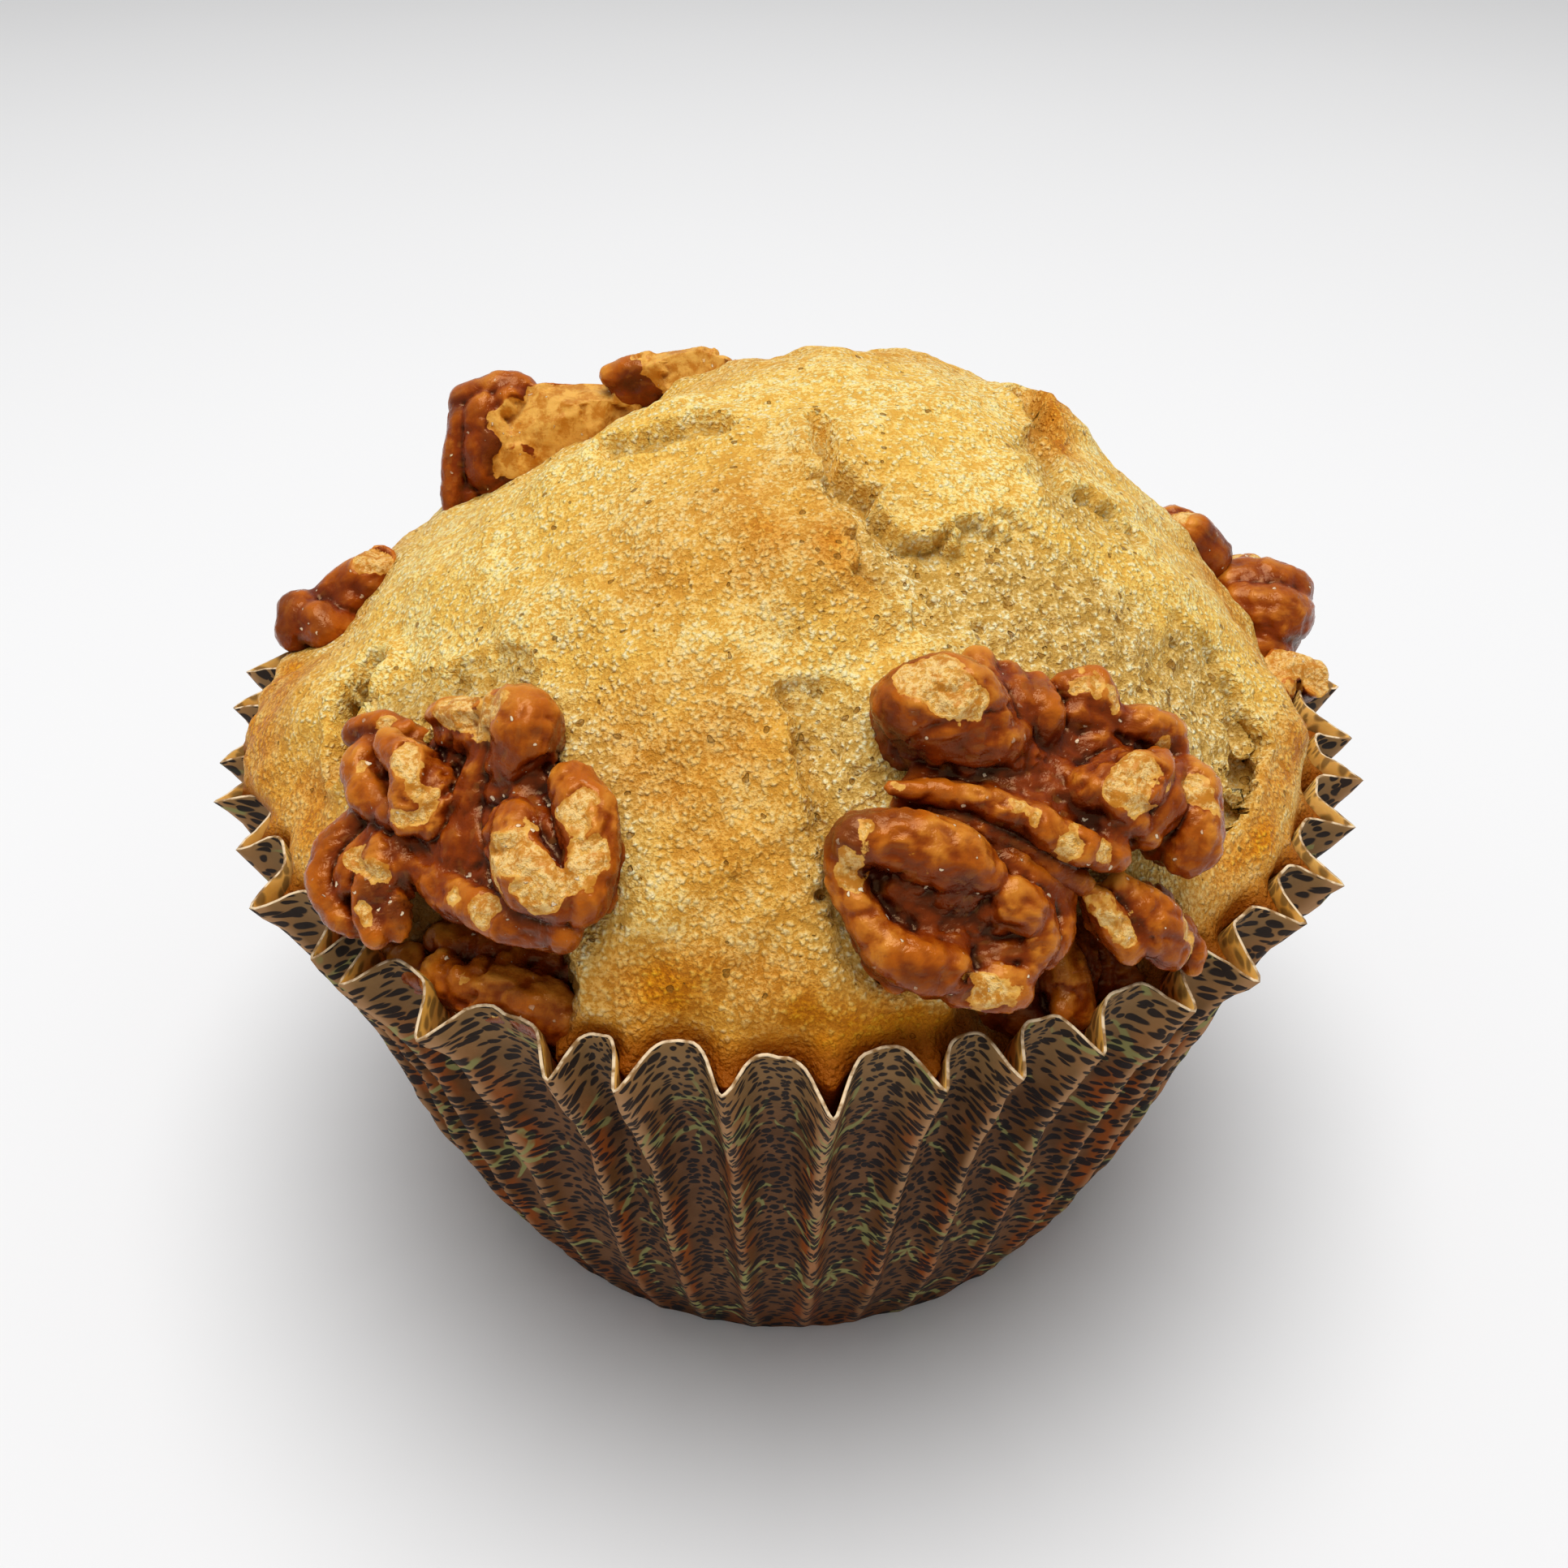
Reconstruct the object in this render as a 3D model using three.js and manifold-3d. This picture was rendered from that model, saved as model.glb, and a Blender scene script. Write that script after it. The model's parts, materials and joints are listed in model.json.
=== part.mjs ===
// A walnut muffin in its pleated paper case, in millimetres, +Z up.
// The origin is the middle of the case's flat bottom, and the side with the two
// large walnut clusters faces -Y. The cake, the case and each piece of walnut
// are solids of their own.
import * as THREE from 'three';
import { mergeVertices } from 'three/addons/utils/BufferGeometryUtils.js';
import Module from 'manifold-3d';

const wasm = await Module();
wasm.setup();

// ---------------------------------------------------------------- dimensions
// The paper case
const PLEATS = 44;
const CASE_HEIGHT = 36.6;
const CASE_BOTTOM_RADIUS = 24.2;
const CASE_RIM_RADIUS = 37.4;
const CASE_BULGE = 0.7;
const PAPER = 0.4;
const FIRST_PLEAT = 174.3;
const SHALLOWEST_PLEAT = 0.2;
const RIM_WAVER = 0.2;
const CASE_LEVELS = [0, 4, 12, 24, CASE_HEIGHT];
const POINTS_PER_PLEAT = 3;

// The cake
const GAP = 0.31;
const CAKE_TOP = 58.2;
const APEX_X = 3;
const APEX_Y = 1.5;
const EDGE_RADIUS = 34.3;
const EDGE_HEIGHT = 38;
const LIP = 0.6;
const LIP_ROUNDING = 0.2;
const CAKE_SECTORS = 72;
const CAKE_RINGS = 13;
const CAKE_BOTTOM = PAPER + GAP;
const FLOOR_OF_OVERHANG = CASE_HEIGHT + RIM_WAVER + GAP;

// The walnuts
const LOBE_SIDES = 6;
const SLIM_LOBE_SIDES = 5;
const SLIM_LOBE = 1.15;
const LOBE_SWELL = 1.1;
const SMALL_CORE = 2.7;
const NEST = 1.1;
const OPEN_AIR = 10;

// ------------------------------------------------------------------- helpers
const radians = (degrees) => THREE.MathUtils.degToRad(degrees);

// Merges the shared corners of a closed geometry and drops its empty triangles.
function closedMesh(geometry) {
  geometry.deleteAttribute('normal');
  geometry.deleteAttribute('uv');
  const merged = mergeVertices(geometry, 1e-4);
  const index = merged.index.array;
  const kept = [];
  for (let i = 0; i < index.length; i += 3) {
    const [a, b, c] = [index[i], index[i + 1], index[i + 2]];
    if (a !== b && b !== c && c !== a) {
      kept.push(a, b, c);
    }
  }
  const vertices = Float32Array.from(merged.attributes.position.array);
  return { vertices, triangles: Uint32Array.from(kept) };
}

function toSolid(geometry) {
  const { vertices, triangles } = closedMesh(geometry);
  return new wasm.Manifold(new wasm.Mesh({ numProp: 3, vertProperties: vertices, triVerts: triangles }));
}

// Keeps the largest body of a solid, without loose scraps.
function largestBody(solid) {
  const bodies = solid.decompose();
  return bodies.reduce((best, body) => (body.volume() > best.volume() ? body : best));
}

function toNode(name, solid, material) {
  const mesh = solid.getMesh();
  const geometry = new THREE.BufferGeometry();
  geometry.setAttribute('position', new THREE.BufferAttribute(mesh.vertProperties, 3));
  geometry.setIndex(new THREE.BufferAttribute(mesh.triVerts, 1));
  geometry.computeVertexNormals();
  const node = new THREE.Mesh(geometry, material);
  node.name = name;
  return node;
}

// A closed skin over rings of equal length, fanned to a point at each end.
function ringedSolid(first, rings, last) {
  const count = rings[0].length;
  const points = [first, ...rings.flat(), last];
  const triangles = [];
  for (let k = 0; k < count; k++) {
    const next = (k + 1) % count;
    triangles.push(0, 1 + k, 1 + next);
    for (let level = 0; level < rings.length - 1; level++) {
      const here = 1 + level * count;
      const below = here + count;
      triangles.push(here + k, below + k, below + next);
      triangles.push(here + k, below + next, here + next);
    }
    const end = 1 + (rings.length - 1) * count;
    triangles.push(points.length - 1, end + next, end + k);
  }
  const geometry = new THREE.BufferGeometry();
  const positions = points.flatMap((point) => point.toArray());
  geometry.setAttribute('position', new THREE.Float32BufferAttribute(positions, 3));
  geometry.setIndex(triangles);
  return toSolid(geometry);
}

const onAxis = (z) => new THREE.Vector3(0, 0, z);

function polar(radius, angle, z) {
  return new THREE.Vector3(radius * Math.cos(angle), radius * Math.sin(angle), z);
}

// ---------------------------------------------------------------- paper case
// The case is pressed from a flat round sheet: all its pleats keep the length
// of the sheet's edge, so they are deeper the further the wall has drawn in.
// Its wall is fullest near the bottom, where the batter sat first.
function caseRadius(z) {
  const straight = CASE_BOTTOM_RADIUS + (CASE_RIM_RADIUS - CASE_BOTTOM_RADIUS) * (z / CASE_HEIGHT);
  return straight + CASE_BULGE * Math.sin((2 * Math.PI * z) / CASE_HEIGHT);
}

function pleatDepth(z) {
  const wallLength = z * Math.hypot(1, (CASE_RIM_RADIUS - CASE_BOTTOM_RADIUS) / CASE_HEIGHT);
  const flank = (Math.PI * (CASE_BOTTOM_RADIUS + wallLength)) / PLEATS;
  const halfPitch = (Math.PI * caseRadius(z)) / PLEATS;
  return SHALLOWEST_PLEAT + Math.sqrt(Math.max(flank * flank - halfPitch * halfPitch, 0));
}

// A pleat is a sharp outer crease between two blunt inner folds, and its width
// wavers a little, because the paper was pressed into the tin by hand.
const pleatShift = (pleat) => 0.1 * Math.sin(2.4 * pleat) + 0.12 * Math.sin(0.9 * pleat + 1);

function caseRing(z, wall) {
  const ring = [];
  for (let step = 0; step < PLEATS * POINTS_PER_PLEAT; step++) {
    const pleat = step / POINTS_PER_PLEAT;
    const along = z / CASE_HEIGHT;
    const angle = radians(FIRST_PLEAT) + ((pleat + pleatShift(pleat) * along) * 2 * Math.PI) / PLEATS;
    const inward = step % POINTS_PER_PLEAT === 0 ? 0 : 1;
    const rimWaver = RIM_WAVER * along * Math.sin(1.9 * Math.floor(pleat + 0.5) + 0.5);
    ring.push(polar(caseRadius(z) - pleatDepth(z) * inward - wall, angle, z + rimWaver));
  }
  return ring;
}

function paperCase() {
  const inside = CASE_LEVELS.map((z) => caseRing(Math.max(z, PAPER), PAPER));
  const outside = CASE_LEVELS.slice().reverse().map((z) => caseRing(z, 0));
  return ringedSolid(onAxis(PAPER), [...inside, ...outside], onAxis(0));
}

// What the inner folds leave free for the filling.
const innerRadius = (z) => caseRadius(z) - pleatDepth(z) - PAPER - GAP;

// The room for walnuts: inside the inner folds, then clear above the rim.
function roomInCase() {
  const profile = [new THREE.Vector2(0, CASE_HEIGHT / 2)];
  profile.push(new THREE.Vector2(innerRadius(CASE_HEIGHT / 2), CASE_HEIGHT / 2));
  profile.push(new THREE.Vector2(innerRadius(CASE_HEIGHT), FLOOR_OF_OVERHANG));
  profile.push(new THREE.Vector2(CASE_RIM_RADIUS + OPEN_AIR, FLOOR_OF_OVERHANG));
  profile.push(new THREE.Vector2(CASE_RIM_RADIUS + OPEN_AIR, CAKE_TOP + OPEN_AIR));
  profile.push(new THREE.Vector2(0, CAKE_TOP + OPEN_AIR));
  const turned = new THREE.LatheGeometry(profile, CAKE_SECTORS);
  turned.rotateX(Math.PI / 2);
  return toSolid(turned);
}

// ---------------------------------------------------------------------- cake
// 1 in one direction round the cake, falling off to both sides of it.
function towards(a, degrees, spread) {
  const away = Math.atan2(Math.sin(a - radians(degrees)), Math.cos(a - radians(degrees)));
  return Math.exp(-((away / radians(spread)) ** 2));
}

// The risen top is a dome whose edge, rim height and fullness change round it.
// It spills over the paper on the left and stays inside it at the front.
const edgeRadius = (a) => (
  EDGE_RADIUS - 1.4 * Math.cos(a) - 0.4 * Math.sin(a) - 0.35 * Math.cos(2 * a) - 0.4 * Math.sin(2 * a)
  - 1.8 * towards(a, -88, 34)
);
const edgeHeight = (a) => EDGE_HEIGHT - 0.5 * Math.cos(a) - 0.3 * Math.sin(a);
const fullness = (a) => 0.88 - 0.13 * Math.cos(a) + 0.12 * Math.cos(2 * a);

// Swellings and hollows of the crust: direction from the middle in degrees,
// share of the way to the edge, breadth, and height along the surface's normal.
const RELIEF = [
  { at: 146, out: 0.6, breadth: 9, height: -2.6 },
  { at: -158, out: 0.95, breadth: 5.5, height: 1.2 },
  { at: -158, out: 0.75, breadth: 3.2, height: -0.5 },
  { at: -95, out: 0.92, breadth: 6, height: 1 },
  { at: -50, out: 0.68, breadth: 6.5, height: -1.1 },
  { at: -32, out: 0.86, breadth: 4, height: -1.3 },
  { at: -68, out: 0.44, breadth: 3, height: -0.7 },
  { at: -100, out: 0.42, breadth: 4.5, height: 0.6 },
  { at: -45, out: 0.4, breadth: 4, height: 0.5 },
  { at: -20, out: 0.95, breadth: 4, height: 0.6 },
  { at: 20, out: 0.5, breadth: 4.5, height: 0.5 },
  { at: 60, out: 0.8, breadth: 7, height: 0.9 },
  { at: 100, out: 0.6, breadth: 6, height: -0.8 },
  { at: 175, out: 0.85, breadth: 4, height: 0.6 },
];

function plainDome(a, out) {
  const edgeX = edgeRadius(a) * Math.cos(a);
  const edgeY = edgeRadius(a) * Math.sin(a);
  const rise = (1 - out * out) ** fullness(a);
  return new THREE.Vector3(
    APEX_X + (edgeX - APEX_X) * out,
    APEX_Y + (edgeY - APEX_Y) * out,
    edgeHeight(a) + (CAKE_TOP - edgeHeight(a)) * rise,
  );
}

// Low swells all over the crust.
function unevenness({ x, y, z }) {
  const broad = Math.sin(0.42 * x + 0.8) * Math.sin(0.5 * y + 0.3 * z);
  const fine = Math.sin(1.1 * x - 0.6 * y) * Math.sin(0.9 * y + 0.7 * z + 1.4);
  return 0.28 * broad + 0.2 * fine;
}

const HEART = new THREE.Vector3(0, 0, 28);

function domePoint(a, out) {
  const point = plainDome(a, out);
  const outward = point.clone().sub(HEART).normalize();
  let height = 0;
  for (const bump of RELIEF) {
    const away = point.distanceTo(plainDome(radians(bump.at), bump.out)) / bump.breadth;
    height += bump.height * Math.exp(-0.5 * away * away);
  }
  return point.addScaledVector(outward, height + unevenness(point));
}

function cakeBody() {
  const rings = [];
  const sectorAngle = (k) => (k / CAKE_SECTORS) * 2 * Math.PI;
  const ring = (make) => Array.from({ length: CAKE_SECTORS }, (unused, k) => make(sectorAngle(k)));
  for (let i = 1; i <= CAKE_RINGS; i++) {
    const out = Math.sin((i / CAKE_RINGS) * (Math.PI / 2));
    rings.push(ring((a) => domePoint(a, out)));
  }
  rings.push(ring((a) => polar(edgeRadius(a) - LIP, a, FLOOR_OF_OVERHANG + LIP_ROUNDING)));
  rings.push(ring((a) => polar(innerRadius(CASE_HEIGHT), a, FLOOR_OF_OVERHANG)));
  for (const z of CASE_LEVELS.slice(0, -1).reverse()) {
    rings.push(ring((a) => polar(innerRadius(z), a, Math.max(z, CAKE_BOTTOM))));
  }
  return ringedSolid(domePoint(0, 0), rings, onAxis(CAKE_BOTTOM));
}

// Torn edges and fissures, each a chain of places with one width and depth.
const CRACKS = [
  { width: 0.8, depth: 1.6, path: [[-93, 0.2], [-85, 0.34], [-80, 0.47]] },
  { width: 0.7, depth: 1.3, path: [[-80, 0.33], [-68, 0.43], [-62, 0.45]] },
  { width: 0.6, depth: 1.1, path: [[-162, 0.36], [-150, 0.22]] },
  { width: 0.8, depth: 1.5, path: [[-158, 0.8], [-150, 0.84]] },
  { width: 0.9, depth: 1.4, path: [[2, 0.44], [-9, 0.53], [-17, 0.66]] },
  { width: 1, depth: 2.4, path: [[-24, 0.86], [-30, 0.92], [-42, 0.94]] },
  { width: 0.8, depth: 1.4, path: [[-92, 0.74], [-87, 0.84], [-83, 0.93]] },
  { width: 0.8, depth: 1.4, path: [[70, 0.5], [84, 0.62], [88, 0.78]] },
];

// A lens-shaped cutter along one stretch of a crack, standing on the crust.
function crackCutter(from, to, width, depth) {
  const along = to.clone().sub(from);
  const upright = from.clone().add(to).multiplyScalar(0.5).sub(HEART).normalize();
  const aside = new THREE.Vector3().crossVectors(along, upright).normalize();
  const down = new THREE.Vector3().crossVectors(aside, along).normalize();
  const lens = new THREE.IcosahedronGeometry(1);
  lens.scale(along.length() * 0.5 + width, width, depth);
  lens.applyMatrix4(new THREE.Matrix4().makeBasis(along.clone().normalize(), aside, down.negate()));
  lens.translate((from.x + to.x) / 2, (from.y + to.y) / 2, (from.z + to.z) / 2);
  return toSolid(lens);
}

function cutCracks(cake) {
  let cut = cake;
  for (const crack of CRACKS) {
    const places = crack.path.map(([at, out]) => domePoint(radians(at), out));
    for (let i = 0; i + 1 < places.length; i++) {
      cut = cut.subtract(crackCutter(places[i], places[i + 1], crack.width, crack.depth));
    }
  }
  return cut;
}

// Where the walnuts crowd at the paper's rim, the batter has stayed back in two bays.
const BAYS = [
  { at: -120, radial: 6.5, sideways: 7.6, upward: 6.5 },
  { at: -64, radial: 6.5, sideways: 8.2, upward: 6.5 },
];
const BAY_RADIUS = 36;
const BAY_HEIGHT = 39.5;

function bayCutter({ at, radial, sideways, upward }) {
  const bay = new THREE.IcosahedronGeometry(1, 2);
  bay.scale(radial, sideways, upward);
  bay.rotateZ(radians(at));
  const middle = polar(BAY_RADIUS, radians(at), BAY_HEIGHT);
  bay.translate(middle.x, middle.y, middle.z);
  return toSolid(bay);
}

// ------------------------------------------------------------------- walnuts
// A kernel is a bundle of rounded lobes on a flat core. Its lobes are placed in
// its own frame: first to the right, then up the slope, then out of the cake,
// as seen from outside. A lobe runs from one place to another with one radius.
const KERNELS = [
  {
    name: 'walnut_front_left',
    at: [-16, -24.5, 44.5],
    azimuth: -129,
    lean: 50,
    core: [0, -1.4, -0.8, 8, 5.8, 2.4],
    lobes: [
      [1.0, 5.8, 2.4, 1.4, 2.9, 1.6, 1.5],
      [-4.2, 3.4, 1.8, 0.4, 5.2, 2.4, 1.0],
      [-8.8, 1.2, 0.8, -1.3, 1.6, 0.8, 1.3],
      [-7.4, 0, 1.4, -5.4, -1.5, 1.6, 1.5],
      [-4.9, 0.8, 2.4, -2.0, -1.7, 2.4, 1.2],
      [-2.5, 0.1, 0.2, 0.9, -3.4, 0.2, 1.9],
      [4.7, 3.6, 1.6, 9.0, -0.7, 1.6, 1.4],
      [4.0, 0.8, 2.6, 7.6, -1.7, 2.2, 1.5],
      [0.0, 1.0, 1.4, 3.6, 2.2, 1.6, 1.2],
      [-1.7, -3.2, 0.8, 8.7, -2.8, 0.8, 1.0],
      [-7.0, -3.4, 0.6, -2.0, -2.8, 0.4, 1.2],
      [-6.9, -3.5, 0.8, -6.4, -6.8, 1.0, 1.0],
      [-6.4, -6.8, 1.0, -3.7, -8.3, 0.8, 0.9],
      [-4.5, -3.5, 1.4, -2.6, -7.4, 1.2, 0.8],
    ],
  },
  {
    name: 'walnut_front_left_low',
    at: [-13.5, -29, 36.4],
    azimuth: -115,
    lean: 40,
    core: [-1.6, 1, -1.6, 6.4, 3.6, 2],
    lobes: [
      [-2.4, -0.4, 1.0, 3.3, -0.4, 1.2, 1.5],
      [3.8, 0.1, 1.0, 4.3, -0.6, 0.8, 1.1],
      [-5.6, 0, 0.4, -5.2, -1.0, 0.4, 0.9],
      [-4.2, 1.8, -0.2, -0.7, 1.9, -0.2, 1.0],
    ],
  },
  {
    name: 'walnut_front_right_upper',
    at: [12.5, -24.5, 47.5],
    azimuth: -60,
    lean: 50,
    core: [0, -0.4, -0.9, 7.6, 5.2, 2.4],
    lobes: [
      [-5.4, 4.9, 1.6, -3.1, 4.2, 2.0, 2.0],
      [-3.7, 2.7, 1.8, -1.3, 1.6, 2.0, 1.1],
      [-0.9, 5.9, 1.0, -1.5, 3.6, 1.8, 0.9],
      [0.4, 4.6, 1.2, -0.5, 2.5, 1.8, 1.0],
      [1.9, 3.7, 1.2, 0.8, 2.1, 1.6, 1.0],
      [3.4, 3.2, 1.4, 5.0, 2.4, 1.4, 1.0],
      [5.4, 0.6, 1.2, 7.6, -0.8, 1.4, 1.2],
      [7.0, -2.6, 2.0, 5.4, -6.8, 2.2, 1.2],
      [3.4, -2.1, 3.4, 1.4, -4.2, 3.0, 1.3],
      [5.0, -3.1, 2.2, 3.6, -4.6, 2.2, 0.9],
      [-8.1, 1.5, 0.8, 0.5, -4.9, 1.4, 0.8],
      [0.1, 0.8, 0.8, 2.3, -2.6, 1.2, 1.5],
    ],
  },
  {
    name: 'walnut_front_right_lower',
    at: [7.5, -30.5, 43.5],
    azimuth: -74,
    lean: 40,
    core: [0.2, -0.2, -0.6, 5, 4.4, 2],
    lobes: [
      [-3.3, 4.3, 1.6, 1.6, 1.6, 2.1, 1.4],
      [-4.1, 3.9, 0.8, -4.4, 1.6, 0.6, 0.8],
      [-4.3, 0.8, 1.0, -2.7, -1.9, 1.4, 1.0],
      [-2.7, -1.9, 1.4, 0.2, -3.1, 1.4, 1.1],
      [3.0, -0.1, 2.0, 3.5, -0.5, 1.8, 1.1],
      [0.8, -4.2, 1.0, 2.1, -4.5, 1.4, 0.9],
      [4.8, -1.6, 0.4, 3.4, -3.9, 0.6, 0.9],
      [-1.9, 1.3, 0.6, 1.1, 0.1, 0.8, 0.8],
    ],
  },
  {
    name: 'walnut_front_right_chip',
    at: [19, -27.5, 40.4],
    azimuth: -52,
    lean: 30,
    core: [-1, 0.4, -0.2, 2.4, 1.8, 1.2],
    lobes: [
      [-3.6, 2.8, 0.8, -2.7, -0.1, 0.8, 0.8],
      [-1.7, 1.5, 1.0, -0.4, -0.9, 1.2, 1.4],
      [0.4, -0.8, 0.9, 1.3, -2.0, 1.0, 1.0],
    ],
  },
  {
    name: 'walnut_front_right_low',
    at: [13, -29, 36.6],
    azimuth: -66,
    lean: 40,
    core: [1.4, 0.8, -1.4, 5.4, 3.4, 1.9],
    lobes: [
      [-0.2, 1.8, 0.4, -0.3, -0.8, 0.8, 1.3],
      [-2.9, 0, -0.2, -1.4, -0.6, 0, 0.8],
      [3.8, 0.6, -0.4, 5.6, 0.2, -0.4, 0.9],
    ],
  },
  {
    name: 'walnut_back_left',
    at: [-17, 15, 48.5],
    azimuth: -90,
    lean: 90,
    core: [-0.2, 0.4, -3, 6.2, 3.4, 3],
    lobes: [
      [-6.2, 2.0, 2.4, -2.6, 2.0, 3.3, 1.1],
      [-5.2, 0.5, 2.2, -3.8, 0.5, 2.4, 1.2],
      [-4.3, -0.5, 2.2, -4.5, -1.5, -1.0, 1.5],
      [-5.7, -0.5, 1.2, -6.4, -1.8, -1.4, 0.8],
      [-6.6, -2.0, -0.9, -7.0, -2.6, -3.4, 0.7],
      [-1.9, 0.2, 3.2, -2.3, -1.6, -1.2, 1.1],
      [-0.5, 1.0, 1.2, 6.0, 1.0, 2.2, 1.8],
      [-0.7, -0.3, 0.1, 3.6, 0.2, 0.3, 1.3],
      [0.2, 2.6, 3.0, 2.6, 2.6, 2.8, 0.8],
    ],
  },
  {
    name: 'walnut_back_left_top',
    at: [-9, 16, 51.5],
    azimuth: -90,
    lean: 90,
    core: [0.8, 0, 0, 4, 2, 1.8],
    lobes: [
      [-3.2, 0.2, 2.0, 0.3, 0.2, 2.1, 0.9],
      [0.3, 0, 2.0, 3.5, -0.6, 2.7, 1.1],
      [3.6, -0.8, 2.8, 4.5, -1.0, 3.3, 0.8],
    ],
  },
  {
    name: 'walnut_left',
    at: [-33, 4.5, 40],
    azimuth: -90,
    lean: 90,
    core: [1.2, -0.2, -0.8, 2.4, 2.6, 1.4],
    lobes: [
      [-0.3, 0, 0.3, -1.0, -1.0, -0.4, 1.3],
      [1.0, -1.0, 0.2, 1.3, -1.6, 0, 1.2],
      [1.2, 1.5, 0.7, 3.7, 2.5, 1.9, 0.9],
    ],
  },
  {
    name: 'walnut_right_upper',
    at: [28, 8, 43.5],
    azimuth: -90,
    lean: 90,
    core: [-0.4, 0.2, -0.8, 2, 2.2, 1.8],
    lobes: [
      [-0.6, 0, 1.6, 1.1, 0, -0.3, 1.4],
      [-1.0, 2.0, 1.0, 0.6, 2.4, -0.4, 1.2],
    ],
  },
  {
    name: 'walnut_right',
    at: [33, 6.5, 40],
    azimuth: -90,
    lean: 90,
    core: [-1.2, 0.6, -0.6, 2.6, 3, 1.6],
    lobes: [
      [-1.4, 1.0, 0.8, 1.3, 1.0, 0.5, 1.6],
      [-0.7, -1.0, -0.4, 0.4, -1.0, -1.0, 1.7],
      [2.1, 0.5, -0.1, 1.4, -1.5, -1.0, 1.1],
      [-0.4, 3.2, 0.2, 0.9, 2.8, 0, 1.3],
    ],
  },
  {
    name: 'walnut_right_crumb',
    at: [34, 0, 38.3],
    azimuth: -90,
    lean: 90,
    core: [-0.2, 0, 0, 1, 1, 0.7],
    lobes: [
      [0.5, 0.8, 0.1, 0.8, 0, 0, 0.8],
      [-0.5, -0.2, 0, -0.5, -0.9, 0, 0.7],
    ],
  },
  {
    name: 'walnut_back',
    at: [7, 29.5, 43],
    azimuth: 77,
    lean: 45,
    core: [0, 0, -1.4, 6, 4.4, 2],
    lobes: [
      [-4.6, 2.6, 1.2, -2.2, 3.2, 1.6, 1.5],
      [-1.0, 3.0, 1.4, 2.0, 2.8, 1.4, 1.3],
      [3.2, 2.2, 1.4, 4.8, 0.4, 1.2, 1.3],
      [-5.2, 0.2, 0.8, -4.4, -2.6, 0.8, 1.2],
      [-2.8, -0.4, 1.8, 2.4, 0.6, 2.0, 1.3],
      [-2.0, -3.0, 0.8, 2.6, -2.4, 1.0, 1.3],
      [3.8, -1.4, 1.0, 4.6, -2.4, 0.8, 1.1],
    ],
  },
  {
    name: 'walnut_back_low',
    at: [-9.5, 31.5, 40.6],
    azimuth: 107,
    lean: 35,
    core: [0, 0.2, -0.8, 3.6, 2.6, 1.7],
    lobes: [
      [-2.4, 1.2, 0.8, -0.4, 1.4, 1.0, 1.2],
      [1.0, 1.2, 1.0, 2.6, -0.2, 0.8, 1.1],
      [-2.6, -0.8, 0.6, 0.8, -0.8, 1.0, 1.1],
    ],
  },
];

function kernelFrame(kernel) {
  const azimuth = radians(kernel.azimuth);
  const lean = radians(kernel.lean);
  const out = new THREE.Vector3(
    Math.cos(azimuth) * Math.cos(lean),
    Math.sin(azimuth) * Math.cos(lean),
    Math.sin(lean),
  );
  const right = new THREE.Vector3(-Math.sin(azimuth), Math.cos(azimuth), 0);
  const up = new THREE.Vector3().crossVectors(out, right);
  return new THREE.Matrix4().makeBasis(right, up, out).setPosition(...kernel.at);
}

// One rounded lobe, grown all round by the clearance that a pocket needs.
function lobeSolid([ax, ay, az, bx, by, bz, radius], growth) {
  const from = new THREE.Vector3(ax, ay, az);
  const to = new THREE.Vector3(bx, by, bz);
  const along = to.clone().sub(from);
  const sides = radius < SLIM_LOBE ? SLIM_LOBE_SIDES : LOBE_SIDES;
  const lobe = new THREE.SphereGeometry(1, sides, 4);
  const halfWidth = radius * LOBE_SWELL + growth;
  lobe.scale(halfWidth, along.length() / 2 + radius + growth, halfWidth);
  const lengthwise = new THREE.Vector3(0, 1, 0);
  lobe.applyQuaternion(new THREE.Quaternion().setFromUnitVectors(lengthwise, along.normalize()));
  lobe.translate((from.x + to.x) / 2, (from.y + to.y) / 2, (from.z + to.z) / 2);
  return toSolid(lobe);
}

function coreSolid([x, y, z, alongRight, alongUp, alongOut], growth) {
  const core = new THREE.IcosahedronGeometry(1, alongRight > SMALL_CORE ? 1 : 0);
  core.scale(alongRight + growth, alongUp + growth, alongOut + growth);
  core.translate(x, y, z);
  return toSolid(core);
}

function kernelSolid(kernel, growth = 0) {
  let solid = coreSolid(kernel.core, growth);
  for (const lobe of kernel.lobes) {
    solid = solid.add(lobeSolid(lobe, growth));
  }
  return solid.transform(kernelFrame(kernel).elements);
}

// The hollow that a kernel pressed into the batter: a smooth nest, wider than
// the kernel's core and open to the outside.
function nestSolid(kernel) {
  const [x, y, z, alongRight, alongUp, alongOut] = kernel.core;
  const nest = coreSolid([x, y, z + NEST, alongRight, alongUp, alongOut + NEST], NEST);
  return nest.transform(kernelFrame(kernel).elements);
}

// ------------------------------------------------------------------ assembly
const crustFinish = new THREE.MeshStandardMaterial({ color: 0xd9ad64, roughness: 0.8, metalness: 0 });
const paperFinish = new THREE.MeshStandardMaterial({ color: 0x8f6f52, roughness: 0.85, metalness: 0 });

function walnutFinish() {
  return new THREE.MeshStandardMaterial({ color: 0x9c5522, roughness: 0.45, metalness: 0 });
}

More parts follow.
